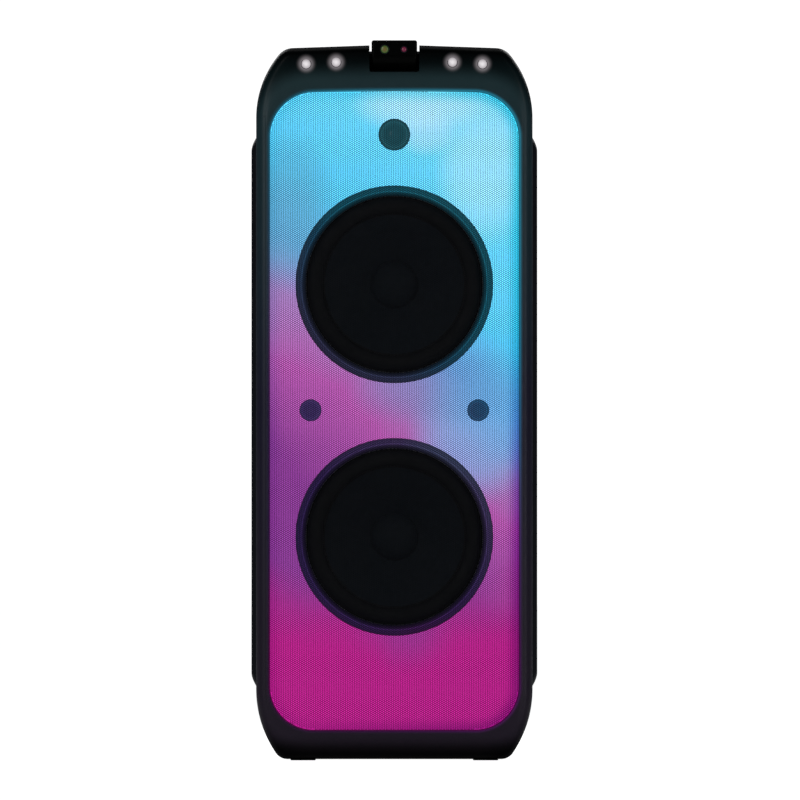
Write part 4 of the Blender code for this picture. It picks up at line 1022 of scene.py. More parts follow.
def build_strobes():
    """Four domed lenses in the top of the frame."""
    turns = np.linspace(0.15, math.pi / 2, 7)[:-1]
    for number in range(1, 5):
        centre = middle(f"strobe_lens_{number}")
        place = (centre.x, BEZEL_FRONT + 0.0008, centre.z)
        lens = lens_dome(f"strobe_dome_{number}", STROBE_RADIUS - 0.0005, 0.0022, 0.010, turns, place)
        dress(lens, STROBE, stands_for=[f"strobe_lens_{number}"])


# ---------------------------------------------------------------- laser head


def build_laser():
    """Tilting head with a dark window and two lit lenses."""
    y, z = LASER_PIVOT.y, LASER_PIVOT.z
    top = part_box("laser_head")[1].z
    rounding = 0.0026

    def section(x, inset):
        """The head's outline across x: round below, square above."""
        reach = LASER_ROUND - inset
        curve = max(0.0045 - inset, 0.001)
        outline = arc((y, z), reach, math.pi, 2 * math.pi, 28)
        outline += arc((y + reach - curve, top - inset - curve), curve, 0.0, math.pi / 2, 5)
        outline += arc((y - reach + curve, top - inset - curve), curve, math.pi / 2, math.pi, 5)
        return [(x, across, up) for across, up in outline]

    turns = np.linspace(0, math.pi / 2, 7)
    side = LASER_HALF_WIDTH - rounding
    end = [(side + rounding * math.sin(t), rounding * (1 - math.cos(t))) for t in turns]
    stations = [(-x, inset) for x, inset in reversed(end)] + end
    sections = [section(x, inset) for x, inset in stations]
    head = loft("laser_housing", sections)
    reach = Vector((NOTCH_HALF_WIDTH + 0.0035, 0.0, 0.0))
    combine(head, [rod("pins", LASER_PIN, LASER_PIVOT - reach, LASER_PIVOT + reach, 0.0004)], "UNION")
    dress(head, LASER_BLACK, "laser_unit", ["laser_head"])
    face = y - LASER_ROUND
    frame_outline = rounded_rectangle((-0.0262, z + 0.0004), (0.0262, top - 0.0034), 0.002)
    glass = prism("laser_glass", frame_outline, "XZ", face - 0.0018, face - GAP, 0.0005)
    dress(glass, LASER_BLACK, "laser_unit", ["laser_window"])
    turns = np.linspace(0.2, math.pi / 2, 6)[:-1]
    for colour, material in (("green", GREEN), ("red", RED)):
        node, radius = f"laser_lens_{colour}", LASER_LENSES[colour]
        centre = middle(node)
        centre.y = face - 0.0018
        lens = lens_dome(f"{node}_dome", radius, 0.0014, 0.0004, turns, centre)
        dress(lens, material, "laser_unit", [node])
        ring = [(0.0003, 0.0), (0.0014, 0.0), (0.0012, 0.0009), (0.0005, 0.0009)]
        ring = [(radius + out, rise) for out, rise in ring]
        collar = turned(f"{node}_collar", ring, centre, FORWARD, 48, closed=True)
        dress(collar, TRIM, "laser_unit")


# ---------------------------------------------------------------- drivers


SURROUND_SECTORS = 12
CONE_RADIUS = 0.0885
CAP_RADIUS = 0.0300
COIL_RADIUS = 0.0258

# Painted light of the trim rings and the horns, which stands in for the panel's light on them, by (share of
# the way out, level), and the tint of each.
RING_PAINTED_GLOW = ((0.0, 0.06), (0.2, 0.30), (0.36, 0.50), (0.45, 1.60), (0.55, 0.70), (0.93, 0.75), (1.0, 0.25))
RING_PAINTED_TINTS = {"upper": (0.088, 0.170, 0.162), "lower": (0.126, 0.395, 0.280)}
HORN_PAINTED_GLOW = ((0.0, 0.95), (0.55, 0.85), (0.80, 1.05), (1.0, 0.60))
HORN_PAINTED_TINTS = {
    "tweeter": (0.131, 0.147, 0.129),
    "side_tweeter_left": (0.157, 0.446, 0.400),
    "side_tweeter_right": (0.134, 0.288, 0.315),
}


def build_surround(which, height):
    """Half-roll surround in sectors, between the frame and the cone."""
    centre, roll, skin = 0.1002, 0.0102, 0.0010
    outer = arc((centre, 0.0054), roll, math.pi, 0.0, 16)
    inner = arc((centre, 0.0054), roll - skin, 0.0, math.pi, 16)
    profile = [(CONE_RADIUS, 0.0048)] + outer + [(0.1122, 0.0052), (0.1122, 0.0047)]
    profile += inner + [(CONE_RADIUS, 0.0042)]
    part = 2 * math.pi / SURROUND_SECTORS
    for sector in range(SURROUND_SECTORS):
        middle_turn = sector * part
        turns = [middle_turn + part * (i / 10 - 0.5) for i in range(11)]
        sections = [
            [(r * math.cos(a), BAFFLE_FRONT - h, height + r * math.sin(a)) for r, h in profile] for a in turns
        ]
        roll_piece = loft(f"surround_{which}_{sector + 1}", sections, angle=50)
        roll_piece.data.materials.append(RUBBER)
        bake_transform(roll_piece)
        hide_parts(f"woofer_{which}_surround")


def build_woofer(which, height):
    """Trim ring, surround, cone, basket and magnet."""
    place = (0.0, BAFFLE_FRONT, height)
    depth = BAFFLE_FRONT - FRAME_BACK
    ring = [
        (WOOFER_WINDOW - 0.0005, depth - 0.0006),
        (WOOFER_WINDOW - 0.0005, 0.0054),
        (0.1124, 0.0054),
        (0.1124, 0.0088),
        (0.1150, 0.0104),
        (0.1162, 0.0128),
        (0.1176, 0.0104),
        (0.1205, 0.0150),
        (WOOFER_WINDOW - 0.0022, depth - 0.0006),
    ]
    trim = turned(f"trim_ring_{which}", softened(ring, 0.0009), ORIGIN, FORWARD, 192, closed=True)
    trim.location = place
    name = f"trim_plastic_{which}"
    # The trim ring gets painted light in the panel's colours, as emission.
    glow = painted_glow_plastic(name, 0.0, height, 0.1124, WOOFER_WINDOW, RING_PAINTED_GLOW, RING_PAINTED_TINTS[which])
    dress(trim, glow, stands_for=[f"woofer_{which}_trim_ring"])
    build_surround(which, height)
    build_cone(which, place)
    build_basket(which, place)
    build_magnet(which, place)


def build_cone(which, place):
    """Cone with four ribs, its cap and the top of its voice coil."""
    cap_depth, cone_depth = 0.0196, 0.0330
    front = [(0.0, -cap_depth)]
    for turn in np.linspace(0.15, 1.2, 9):
        front.append((0.0310 * math.sin(turn), -cap_depth - 0.0115 * (1 - math.cos(turn * 1.25))))
    front.append((CAP_RADIUS, -cone_depth))
    for rib in range(4):
        share = 0.18 + 0.17 * rib
        radius = CAP_RADIUS + (CONE_RADIUS - CAP_RADIUS) * share
        rise = -cone_depth + 0.0372 * share
        front += [(radius, rise), (radius + 0.0012, rise + 0.0013), (radius + 0.0030, rise + 0.0019)]
    front += [(CONE_RADIUS, 0.0042), (CONE_RADIUS + 0.0015, 0.0046)]
    coil_wall, coil_end = COIL_RADIUS - 0.0011, -0.0920
    back = [(CONE_RADIUS + 0.0015, 0.0032), (CAP_RADIUS, -0.0372)]
    back += [(COIL_RADIUS, -0.0400), (COIL_RADIUS, coil_end)]
    back += [(coil_wall, coil_end), (coil_wall, -0.0375), (0.0150, -0.0330), (0.0, -0.0310)]
    cone = turned(f"cone_{which}_paper", front + back, place, FORWARD, 144)
    dress(cone, CONE, f"cone_{which}", [f"woofer_{which}_cone"])


def build_basket(which, place):
    """Pressed basket with six windows in its cone."""
    profile = [(0.1245, 0.0050), (0.1245, GAP), (0.1155, GAP), (0.1150, -0.0080), (0.0645, -0.0715)]
    profile += [(0.0640, -0.0780), (0.0285, -0.0780), (0.0285, -0.0755), (0.0600, -0.0700)]
    profile += [(0.1075, -0.0080), (0.1075, 0.0050)]
    basket = turned(f"basket_{which}", softened(profile, 0.0012), place, FORWARD, 144, closed=True)
    outline = softened([(0.069, -0.021), (0.110, -0.037), (0.110, 0.037), (0.069, 0.021)], 0.006)
    cuts = []
    for i in range(6):
        wedge = prism(f"window_{i}", outline, "XY", 0.014, 0.066)
        spun = Matrix.Rotation(math.pi / 3 * i, 4, "Z") @ Matrix.Translation((0, 0, -0.080))
        wedge.data.transform(aimed(place, FORWARD) @ spun)
        cuts.append(wedge)
    combine(basket, cuts)
    dress(basket, STEEL, stands_for=[f"woofer_{which}_basket"])


def build_magnet(which, place):
    """Ferrite ring between a top plate and a back plate with the pole."""
    ring = [(0.0321, -0.0862), (0.0699, -0.0862), (0.0699, -0.1058), (0.0321, -0.1058)]
    top = [(0.0270, -0.0783), (0.0620, -0.0783), (0.0620, -0.0860), (0.0270, -0.0860)]
    pole = [(0.0, -0.0770), (0.0235, -0.0770), (0.0235, -0.1061), (0.0640, -0.1061), (0.0640, -0.1110)]
    pole += [(0.0600, -0.1140), (0.0080, -0.1140), (0.0060, -0.1120), (0.0, -0.1120)]
    for name, profile, rounding, hollow, material, slot in (
        ("ferrite", ring, 0.0015, True, FERRITE, "magnet"),
        ("top_plate", top, 0.0006, True, STEEL, "driver_steel"),
        ("back_plate", pole, 0.0006, False, STEEL, "driver_steel"),
    ):
        outline = softened(profile, rounding, closed=hollow)
        piece = turned(f"{name}_{which}", outline, place, FORWARD, 96, closed=hollow)
        dress(piece, material, stands_for=[f"woofer_{which}_magnet"])


def build_tweeter(name, x, height, mouth, dome):
    """Horn with a waveguide flare, and a dome in a ridged ring."""
    depth = BAFFLE_FRONT - FRAME_BACK
    profile = [
        (dome + 0.0006, 0.0080),
        (dome + 0.0014, 0.0102),
        (dome + 0.0028, 0.0102),
        (dome + 0.0034, 0.0118),
        (mouth - 0.0034, depth - 0.0060),
        (mouth - 0.0015, depth - 0.0007),
        (mouth - 0.0005, depth - 0.0007),
        (mouth - 0.0005, 0.0040),
        (mouth + 0.0070, 0.0040),
        (mouth + 0.0070, GAP),
        (mouth, GAP),
        (mouth, -0.0200),
        (0.0, -0.0200),
        (0.0, 0.0080),
    ]
    horn = turned(f"{name}_horn", softened(profile, 0.0007, closed=False), ORIGIN, FORWARD)
    horn.location = (x, BAFFLE_FRONT, height)
    # The horn and its dome get painted light in the panel's colours, as emission.
    glow = painted_glow_plastic(f"horn_painted_glow_{name}", x, height, 0.0, mouth, HORN_PAINTED_GLOW, HORN_PAINTED_TINTS[name])
    dress(horn, glow, stands_for=[name])
    base, rise = 0.0084, dome * 0.55
    cap = [(0.0, base - 0.0002), (dome, base - 0.0002)]
    cap += [(dome * math.cos(a), base + rise * math.sin(a)) for a in np.linspace(0, math.pi / 2, 12)[:-1]]
    bead = turned(f"{name}_dome", cap + [(0.0, base + rise)], ORIGIN, FORWARD)
    bead.location = (x, BAFFLE_FRONT, height)
    dress(bead, glow)


# ---------------------------------------------------------------- cabinet


def ring_cut(name, outline, outer, inner, low, high):
    """A cutter for a groove round an outline, between two insets and two planes."""
    return band(name, outline(outer), outline(inner), "XZ", low, high)


def build_shell():
    """Cabinet walls with two fine seams, cut away for the wheel bay and the handle's pocket."""
    front = BAFFLE_BACK + GAP
    soft = 0.0008
    sections = [
        at_y(cabinet_outline(), front),
        at_y(cabinet_outline(), SHELL_BACK - soft),
        at_y(cabinet_outline(soft), SHELL_BACK),
        at_y(cabinet_outline(CABINET_WALL), SHELL_BACK),
        at_y(cabinet_outline(CABINET_WALL), front),
    ]
    shell = loft("shell", sections, closed=True)
    side = POCKET_HALF_WIDTH + POCKET_WALL + GAP
    tools = [
        block("bay", (-0.2, BAY_FRONT, -0.01), (0.2, 0.2, BAY_TOP + BAY_PLATE + GAP)),
        block("pocket", (-side, POCKET_FRONT - POCKET_WALL - GAP, POCKET_FLOOR), (side, 0.2, 0.95)),
    ]
    for y in (-0.060, 0.128):
        tools.append(ring_cut(f"seam_{y}", cabinet_outline, -0.002, 0.0007, y - 0.0006, y + 0.0006))
    combine(shell, tools)
    dress(shell, SHELL, stands_for=["cabinet_shell"])


def build_rear_panel():
    """Back of the cabinet with a rounded rim, the handle's pocket, the wheel bay and the axle's lugs."""
    start, rounding = SHELL_BACK + GAP, 0.003
    sections = [at_y(cabinet_outline(), start)]
    for turn in np.linspace(0, math.pi / 2, 7):
        inset = rounding * (1 - math.cos(turn))
        sections.append(at_y(cabinet_outline(inset), REAR_FACE - rounding * (1 - math.sin(turn))))
    panel = loft("rear_cover", sections)
    before, behind = SHELL_BACK - 0.01, REAR_FACE + 0.012
    combine(panel, [block("bay_below", (-0.2, before, -0.01), (0.2, behind, BAY_TOP))])
    outer = POCKET_HALF_WIDTH + POCKET_WALL
    tray_low = (-outer, POCKET_FRONT - POCKET_WALL, POCKET_FLOOR - POCKET_WALL)
    tray = block("tray", tray_low, (outer, SHELL_BACK + 0.004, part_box("rear_panel")[1].z))
    combine(panel, bay_parts() + [tray], "UNION")
    sides_low = (-outer - 0.004, POCKET_FRONT + POCKET_TURN, CABINET_TOP + POCKET_LIP)
    combine(panel, [block("pocket_sides", sides_low, (outer + 0.004, 0.2, 1.0))])
    places = rear_screws()
    combine(panel, rear_cuts(before, behind, places))
    dress(panel, SHELL, stands_for=["rear_panel"])
    dress(scattered("rear_screws", screw(0.0038), places, BACKWARD), SCREW)


def bay_parts():
    """Roof and front wall of the wheel bay, and the axle's lugs with their ribs."""
    joins = [
        block(
            "bay_roof",
            (-BAY_HALF_WIDTH, BAY_FRONT + GAP, BAY_TOP),
            (BAY_HALF_WIDTH, SHELL_BACK + 0.005, BAY_TOP + BAY_PLATE),
        )
    ]
    outline = cabinet_outline()
    wall = loft("bay_wall", [at_y(outline, BAY_FRONT + GAP), at_y(outline, BAY_FRONT + 0.0045)])
    combine(wall, [block("above_bay", (-0.2, BAY_FRONT - 0.01, BAY_TOP + 0.002), (0.2, 0.12, 1.0))])
    joins.append(wall)
    root = BAY_TOP + 0.002
    ears = arc((AXLE.y, AXLE.z), LUG_HALF, math.pi, 2 * math.pi, 20)
    ears += [(AXLE.y + LUG_HALF, root), (AXLE.y - LUG_HALF, root)]
    for side in (-1, 1):
        ends = sorted((side * LUG_OUT, side * (LUG_OUT + LUG_THICK)))
        joins.append(prism(f"lug_{side}", ears, "YZ", *ends, 0.0012))
        for inwards in (0.020, 0.065):
            x = side * (LUG_OUT - inwards)
            low, high = (x - 0.0015, BAY_FRONT + 0.003, BAY_TOP - 0.022), (x + 0.0015, 0.118, root)
            joins.append(block(f"rib_{side}_{inwards}", low, high))
    return joins


def rear_cuts(before, behind, screw_places):
    """Cutters for the holes, the grooves and the hollow of the handle's pocket."""
    reach = Vector((0.15, 0.0, 0.0))
    cuts = [rod("axle_hole", AXLE_RADIUS + 0.0004, AXLE - reach, AXLE + reach)]
    pocket_low = (-POCKET_HALF_WIDTH, POCKET_FRONT, POCKET_FLOOR)
    cuts.append(block("hollow", pocket_low, (POCKET_HALF_WIDTH, 0.2, 1.0), 0.005, 5))
    cuts.append(ring_cut("border", cabinet_outline, 0.0125, 0.0140, REAR_FACE - 0.0009, behind))
    for name in ("left", "right"):
        x, y, _ = middle(f"handle_tube_{name}")
        cuts.append(rod(f"tube_hole_{name}", 0.0075, (x, y, 0.80), (x, y, 0.86)))
    port = middle("port_tube")
    cuts.append(rod("port_hole", PORT_RADIUS + 0.0035, (0.0, before, port.z), (0.0, behind, port.z)))
    for node in ("amp_plate", "battery_door"):
        opening = box_outline(*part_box(node), "XZ", 0.003, COVER_LAP)
        cuts.append(prism(f"{node}_hole", opening, "XZ", before, behind))
    profile = [(0.0, 0.0), (0.0046, 0.0), (0.0052, 0.0016), (0.0052, 0.02), (0.0, 0.02)]
    well = turned("well", profile, ORIGIN, UPWARD, 32)
    cuts.append(scattered("wells", well, screw_places, BACKWARD))
    for row in range(9):
        slot = window((0.0, 0.590 - 0.0075 * row), 0.120, 0.0032, 0.0015, 4)
        cuts.append(prism(f"rib_groove_{row}", slot, "XZ", REAR_FACE - 0.0012, behind))
    return cuts


def rear_screws():
    """Where the screws of the rear panel are, sunk along both sides and across the top and the bottom."""
    sides = [(0.152, z) for z in (0.16, 0.30, 0.44, 0.58, 0.72)]
    ends = [(0.130, 0.812), (0.055, 0.812), (0.055, 0.108)]
    places = []
    for group in (sides, ends):
        for side in (-1, 1):
            places += [Vector((side * x, REAR_FACE, z)) - Vector((0, 0.0014, 0)) for x, z in group]
    return places


def screw(radius):
    """Pan head with a cross recess, made at the origin with its axis along +Z."""
    profile = [(0.0, -0.0008), (radius, -0.0008), (radius, radius * 0.14)]
    for share in (0.35, 0.7, 1.0):
        profile.append((radius * (1 - 0.12 * share), radius * (0.14 + 0.24 * math.sin(share * math.pi / 2))))
    profile += [(radius * 0.5, radius * 0.44), (0.0, radius * 0.46)]
    head = turned("screw", profile, ORIGIN, UPWARD, 32)
    arm, half = radius * 0.56, radius * 0.13
    crosses = [
        block("cross_x", (-arm, -half, radius * 0.1), (arm, half, radius)),
        block("cross_y", (-half, -arm, radius * 0.1), (half, arm, radius)),
    ]
    return combine(head, crosses)


def build_side_pad(name, side):
    """Bumper with a chamfered rim, a soft edge and two long grooves."""
    low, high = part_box(name)
    step, out = 0.1753, max(abs(low.x), abs(high.x))
    base = min(abs(low.x), abs(high.x))
    stations = [(base, 0.0), (step - 0.0006, 0.0), (step, 0.0004)]
    for share in np.linspace(0.15, 1.0, 8):
        stations.append((step + (out - step) * (1 - (1 - share) ** 1.6), share))
    sections = []
    for x, share in stations:
        inset_y, inset_z = 0.007 * share, 0.017 * share
        outline = rounded_rectangle(
            (low.y + inset_y, low.z + inset_z), (high.y - inset_y, high.z - inset_z), 0.012 - 0.004 * share
        )
        sections.append([(side * x, y, z) for y, z in outline])
    pad = loft(f"{name}_cover", sections, angle=25)
    centre_y = (low.y + high.y) / 2
    grooves = []
    for y in (centre_y - 0.045, centre_y + 0.045):
        outline = rounded_rectangle((y - 0.0025, low.z + 0.05), (y + 0.0025, high.z - 0.05), 0.0024)
        grooves.append((outline, 0.0012))
    for row in range(22):
        z = low.z + 0.09 + row * (high.z - low.z - 0.18) / 21
        grooves.append((window((centre_y, z), 0.060, 0.0032, 0.0015, 4), 0.0009))
    cuts = []
    for outline, deep in grooves:
        ends = sorted((side * (out - deep), side * (out + 0.004)))
        cuts.append(prism("groove", outline, "YZ", *ends))
    combine(pad, cuts)
    dress(pad, PAD, stands_for=[name])


def build_feet():
    """Two flat feet with grooves across their undersides."""
    for name in ("front_foot_left", "front_foot_right"):
        low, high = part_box(name)
        foot = block(f"{name}_pad", low, high, 0.0008)
        grooves = [
            block("groove", (low.x - 0.01, y - 0.0008, -0.01), (high.x + 0.01, y + 0.0008, 0.0008))
            for y in np.linspace(low.y + 0.006, high.y - 0.006, 5)
        ]
        combine(foot, grooves)
        dress(foot, RUBBER, stands_for=[name])


# ---------------------------------------------------------------- control panel


def triangle(x, way):
    """A triangle centred at x that points to the right (way 1) or to the left (way -1)."""
    back = x - way * 0.42
    return [(back, -0.55), (x + way * 0.46, 0.0), (back, 0.55)]


def bar(low_x, high_x, low_y=-0.55, high_y=0.55):
    """An upright rectangle."""
    return [(low_x, low_y), (high_x, low_y), (high_x, high_y), (low_x, high_y)]


def key_symbols():
    """The outlines of each key's symbol, in units of half its height."""
    start, end = math.radians(120), math.radians(420)
    ring = arc((0, 0), 1.0, start, end, 24) + arc((0, 0), 0.74, end, start, 24)
    rays = []
    for i in range(8):
        turn = Matrix.Rotation(math.pi / 4 * i, 2)
        rays.append([tuple(turn @ Vector(point)) for point in bar(0.55, 0.95, -0.09, 0.09)])
    bracket = [(-0.7, 0.6), (-0.7, -0.6), (0.25, -0.6), (0.25, -0.4)]
    bracket += [(-0.5, -0.4), (-0.5, 0.4), (0.25, 0.4), (0.25, 0.6)]
    arrow = [(-0.2, -0.1), (0.4, -0.1), (0.4, -0.32), (0.85, 0.0), (0.4, 0.32), (0.4, 0.1), (-0.2, 0.1)]
    return {
        "source": [bracket, arrow],
        "previous": [triangle(0.42, -1), triangle(-0.42, -1), bar(-1.08, -0.92)],
        "play": [triangle(-0.40, 1), bar(0.32, 0.52), bar(0.72, 0.92)],
        "next": [triangle(-0.42, 1), triangle(0.42, 1), bar(0.92, 1.08)],
        "light": [circle(0, 0, 0.36, 24)] + rays,
        "power": [ring, bar(-0.13, 0.13, 0.35, 1.12)],
    }


def mark(name, outlines, centre, scale, height, body):
    """A raised print on a surface that faces up."""
    moved = [[(centre.x + x * scale, centre.y + y * scale) for x, y in outline] for outline in outlines]
    print_piece = sheet(name, moved, "XY", height - 0.0001, height + 0.00012)
    dress(print_piece, MARK, body)


def build_control_panel():
    """Satin deck with its keys, knobs, printed scales and display."""
    low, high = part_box("control_panel")
    top = high.z
    deck = block("deck", low, high, 0.0016, 4)
    cuts = []
    symbols = key_symbols()
    for key in ("source", "previous", "play", "next", "light"):
        key_low, key_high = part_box(f"button_{key}")
        outline = box_outline(key_low, key_high, "XY", 0.0022, -0.0006)
        cuts.append(prism(f"hole_{key}", outline, "XY", low.z - 0.01, top + 0.01))
        outline = box_outline(key_low, key_high, "XY", 0.0018, steps=5)
        cap = prism(f"key_{key}", outline, "XY", key_low.z, key_high.z, 0.0009, 4)
        dress(cap, CONTROL, f"{key}_key", [f"button_{key}"])
        mark(f"symbol_{key}", symbols[key], middle(f"button_{key}"), 0.0034, key_high.z, f"{key}_key")
    power_radius = (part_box("button_power")[1].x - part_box("button_power")[0].x) / 2
    round_holes = (("button_power", power_radius + 0.0006), ("volume_knob", 0.0035), ("mic_knob", 0.0035))
    for node, radius in round_holes:
        x, y, _ = middle(node)
        cuts.append(rod(f"hole_{node}", radius, (x, y, low.z - 0.01), (x, y, top + 0.01)))
    build_power_key(power_radius, symbols["power"])
    glass_low, glass_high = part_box("display_window")
    recess = (glass_low - Vector((GAP, GAP, GAP)), glass_high + Vector((GAP, GAP, 0.02)))
    cuts.append(block("display_recess", *recess))
    groove, inner = box_outline(low, high, "XY", 0.006, 0.006), box_outline(low, high, "XY", 0.005, 0.007)
    cuts.append(band("groove", groove, inner, "XY", top - 0.0006, top + 0.01))
    combine(deck, cuts)
    dress(deck, SATIN, stands_for=["control_panel"])
    build_knob("volume_knob", "volume_dial", 60, 0.022)
    build_knob("mic_knob", "mic_dial", 36, 0.020)
    scale_marks("volume_knob", top, 11, 0.0024)
    scale_marks("mic_knob", top, 9, 0.0018)
    build_display(glass_low, glass_high)


def build_power_key(radius, symbol):
    """Round key with a shallow dish, which holds its symbol."""
    low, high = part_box("button_power")
    centre = middle("button_power")
    dish = high.z - 0.0005
    profile = [(0.0, low.z), (radius, low.z), (radius, high.z), (radius * 0.8, high.z)]
    profile = softened(profile + [(radius * 0.72, dish), (0.0, dish)], 0.0007, closed=False)
    cap = turned("key_power", profile, (centre.x, centre.y, 0.0), UPWARD, 64)
    dress(cap, CONTROL, "power_key", ["button_power"])
    mark("symbol_power", symbol, centre, 0.0042, dish, "power_key")


def scale_marks(node, height, count, length):
    """Printed strokes round a knob, which grow longer towards the loud end."""
    centre = middle(node)
    low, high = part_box(node)
    start = (high.x - low.x) / 2 + 0.0022
    strokes = []
    for i in range(count):
        turn = Matrix.Rotation(math.radians(230 - 280 * i / (count - 1)), 2)
        reach = start + length * (0.6 + 0.6 * i / (count - 1))
        strokes.append([tuple(turn @ Vector(point)) for point in bar(start, reach, -0.0004, 0.0004)])
    mark(f"{node}_scale", strokes, centre, 1.0, height, "cabinet")


def build_knob(node, body, ridges, depth):
    """Fluted knob with a dished top and a pointer."""
    low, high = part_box(node)
    centre = (low + high) / 2
    radius = (high.x - low.x) / 2
    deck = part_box("control_panel")[1].z + 0.0006
    steps = ridges * 6

    def ring(reach, height, flute):
        """One level of the knob, with flutes of some depth."""
        points = []
        for i in range(steps):
            turn = 2 * math.pi * i / steps
            r = reach * (1 - flute * (0.5 - 0.5 * math.cos(ridges * turn)) ** 2)
            points.append((centre.x + r * math.cos(turn), centre.y + r * math.sin(turn), height))
        return points

    sections = [ring(0.003, low.z, 0.0), ring(0.003, deck, 0.0), ring(radius * 0.985, deck, 0.0)]
    sections += [ring(radius, deck + 0.0005, depth * 0.3), ring(radius, deck + 0.0016, depth)]
    sections.append(ring(radius * 0.985, high.z - 0.0030, depth))
    for share, drop in (
        (0.975, 0.0020),
        (0.955, 0.0010),
        (0.915, 0.0002),
        (0.880, 0.0),
        (0.800, 0.0),
        (0.770, 0.0003),
        (0.740, 0.0009),
        (0.350, 0.0013),
    ):
        sections.append(ring(radius * share, high.z - drop, 0.0))
    knob = loft(f"{node}_cap", sections, angle=40)
    dress(knob, CONTROL, body, [node])
    pointer = bar(-0.0006, 0.0006, radius * 0.80, radius * 0.90)
    mark(f"{node}_pointer", [pointer], centre, 1.0, high.z, body)


def build_display(low, high):
    """Dark window over a row of level bars."""
    glass = prism("display_glass", box_outline(low, high, "XY", 0.0012), "XY", low.z, high.z, 0.0003)
    dress(glass, SATIN, stands_for=["display_window"])
    count = 16
    pitch = (high.x - low.x - 0.014) / count
    bars = []
    for i in range(count):
        x = low.x + 0.007 + pitch * (i + 0.5)
        level = 2 + round(4 * abs(math.sin(0.9 * i + 0.6)))
        for step in range(level):
            y = low.y + 0.004 + 0.0026 * step
            bars.append(bar(x - pitch * 0.36, x + pitch * 0.36, y, y + 0.0018))
    lit = sheet("display_bars", bars, "XY", high.z - 0.0001, high.z + 0.0001)
    dress(lit, DISPLAY)


# ---------------------------------------------------------------- handle and wheels


def build_handle():
    """Grip with a seam near each end and ribs below, on two bright tubes in their sleeves."""
    low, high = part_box("handle_grip")
    grip = block("grip", low, high, 0.0080, 8)
    cuts = []
    for side in (-1, 1):
        x = side * (high.x - 0.024)
        collar = slab("seam", x, 0.0006, (low, high), 0.01)
        cuts.append(combine(collar, [slab("core", x, 0.01, (low, high), -0.0006, 0.0076, 8)]))
    for i in range(17):
        x = -0.056 + 0.007 * i
        start, end = (x - 0.0012, low.y + 0.005, low.z - 0.01), (x + 0.0012, high.y - 0.005, low.z + 0.0009)
        cuts.append(block(f"rib_{i}", start, end))
    combine(grip, cuts)
    dress(grip, PAD, "trolley_handle", ["handle_grip"])
    for name in ("left", "right"):
        tube = build_pipe(f"tube_{name}", f"handle_tube_{name}", 0.0012, 0.0004)
        dress(tube, CHROME, "trolley_handle", [f"handle_tube_{name}"])
        sleeve = build_pipe(f"sleeve_{name}", f"handle_sleeve_{name}", 0.0020, 0.0003, (0.008, 0.009))
        dress(sleeve, STEEL, stands_for=[f"handle_sleeve_{name}"])


def slab(name, x, half, box, margin, rounding=0.0, segments=3):
    """Block across the grip at x, larger than the grip's section by a margin."""
    low, high = box
    start, end = (x - half, low.y - margin, low.z - margin), (x + half, high.y + margin, high.z + margin)
    return block(name, start, end, rounding, segments)


def build_pipe(name, node, wall, rounding, rings=()):
    """Upright tube with the size and place of a CAD node, and rings of edges at some heights."""
    low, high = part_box(node)
    x, y, _ = middle(node)
    outer = (high.x - low.x) / 2
    inner = outer - wall
    profile = [(outer, low.z)] + [(outer, low.z + ring) for ring in rings]
    profile += [(outer, high.z), (inner, high.z), (inner, low.z)]
    return turned(name, softened(profile, rounding), (x, y, 0.0), UPWARD, 64, closed=True)


def build_wheels():
    """Treaded tyres on five-hole hubs, on an axle with a clip at each end."""
    low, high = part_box("wheel_axle")
    axle = rod("axle", AXLE_RADIUS, (low.x, AXLE.y, AXLE.z), (high.x, AXLE.y, AXLE.z), 0.0006)
    dress(axle, STEEL, stands_for=["wheel_axle"])
    ring = [(AXLE_RADIUS + 0.0001, 0.0), (0.0082, 0.0), (0.0082, 0.0010), (AXLE_RADIUS + 0.0001, 0.0010)]
    for name, side in (("left", -1), ("right", 1)):
        low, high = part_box(f"tyre_{name}")
        centre = middle(f"tyre_{name}")
        half = (high.x - low.x) / 2
        build_tyre(name, centre, (high.z - low.z) / 2, half)
        build_hub(name, side, centre, half - 0.001)
        end = (centre.x + side * (half - 0.0008), AXLE.y, AXLE.z)
        clip = turned(f"axle_clip_{name}", softened(ring, 0.0003), end, (side, 0, 0), 48, closed=True)
        dress(clip, STEEL)


def build_tyre(name, centre, radius, half):
    """Tyre with a groove round its middle and grooves across its shoulders."""
    sectors = 144
    sections = []
    for i in range(sectors):
        turn = 2 * math.pi * i / sectors
        groove = 0.0012 if i % 6 < 2 else 0.0
        right = [  # how far in from the tread, and how far along the axle
            (0.0014, 0.0010),
            (groove, 0.0016),
            (groove, half - 0.0066),
            (0.0010 + groove, half - 0.0042),
            (0.0034 + groove * 0.5, half - 0.0012),
            (0.0062, half),
            (radius - 0.0303, half),
        ]
        profile = [(drop, -along) for drop, along in reversed(right)] + right
        across, up = math.cos(turn), math.sin(turn)
        section = []
        for drop, along in profile:
            out = radius - drop
            section.append((centre.x + along, AXLE.y + out * across, AXLE.z + out * up))
        sections.append(section)
    tyre = loft(f"tread_{name}", sections, closed=True, angle=30)
    dress(tyre, TYRE, f"wheel_{name}", [f"tyre_{name}"])


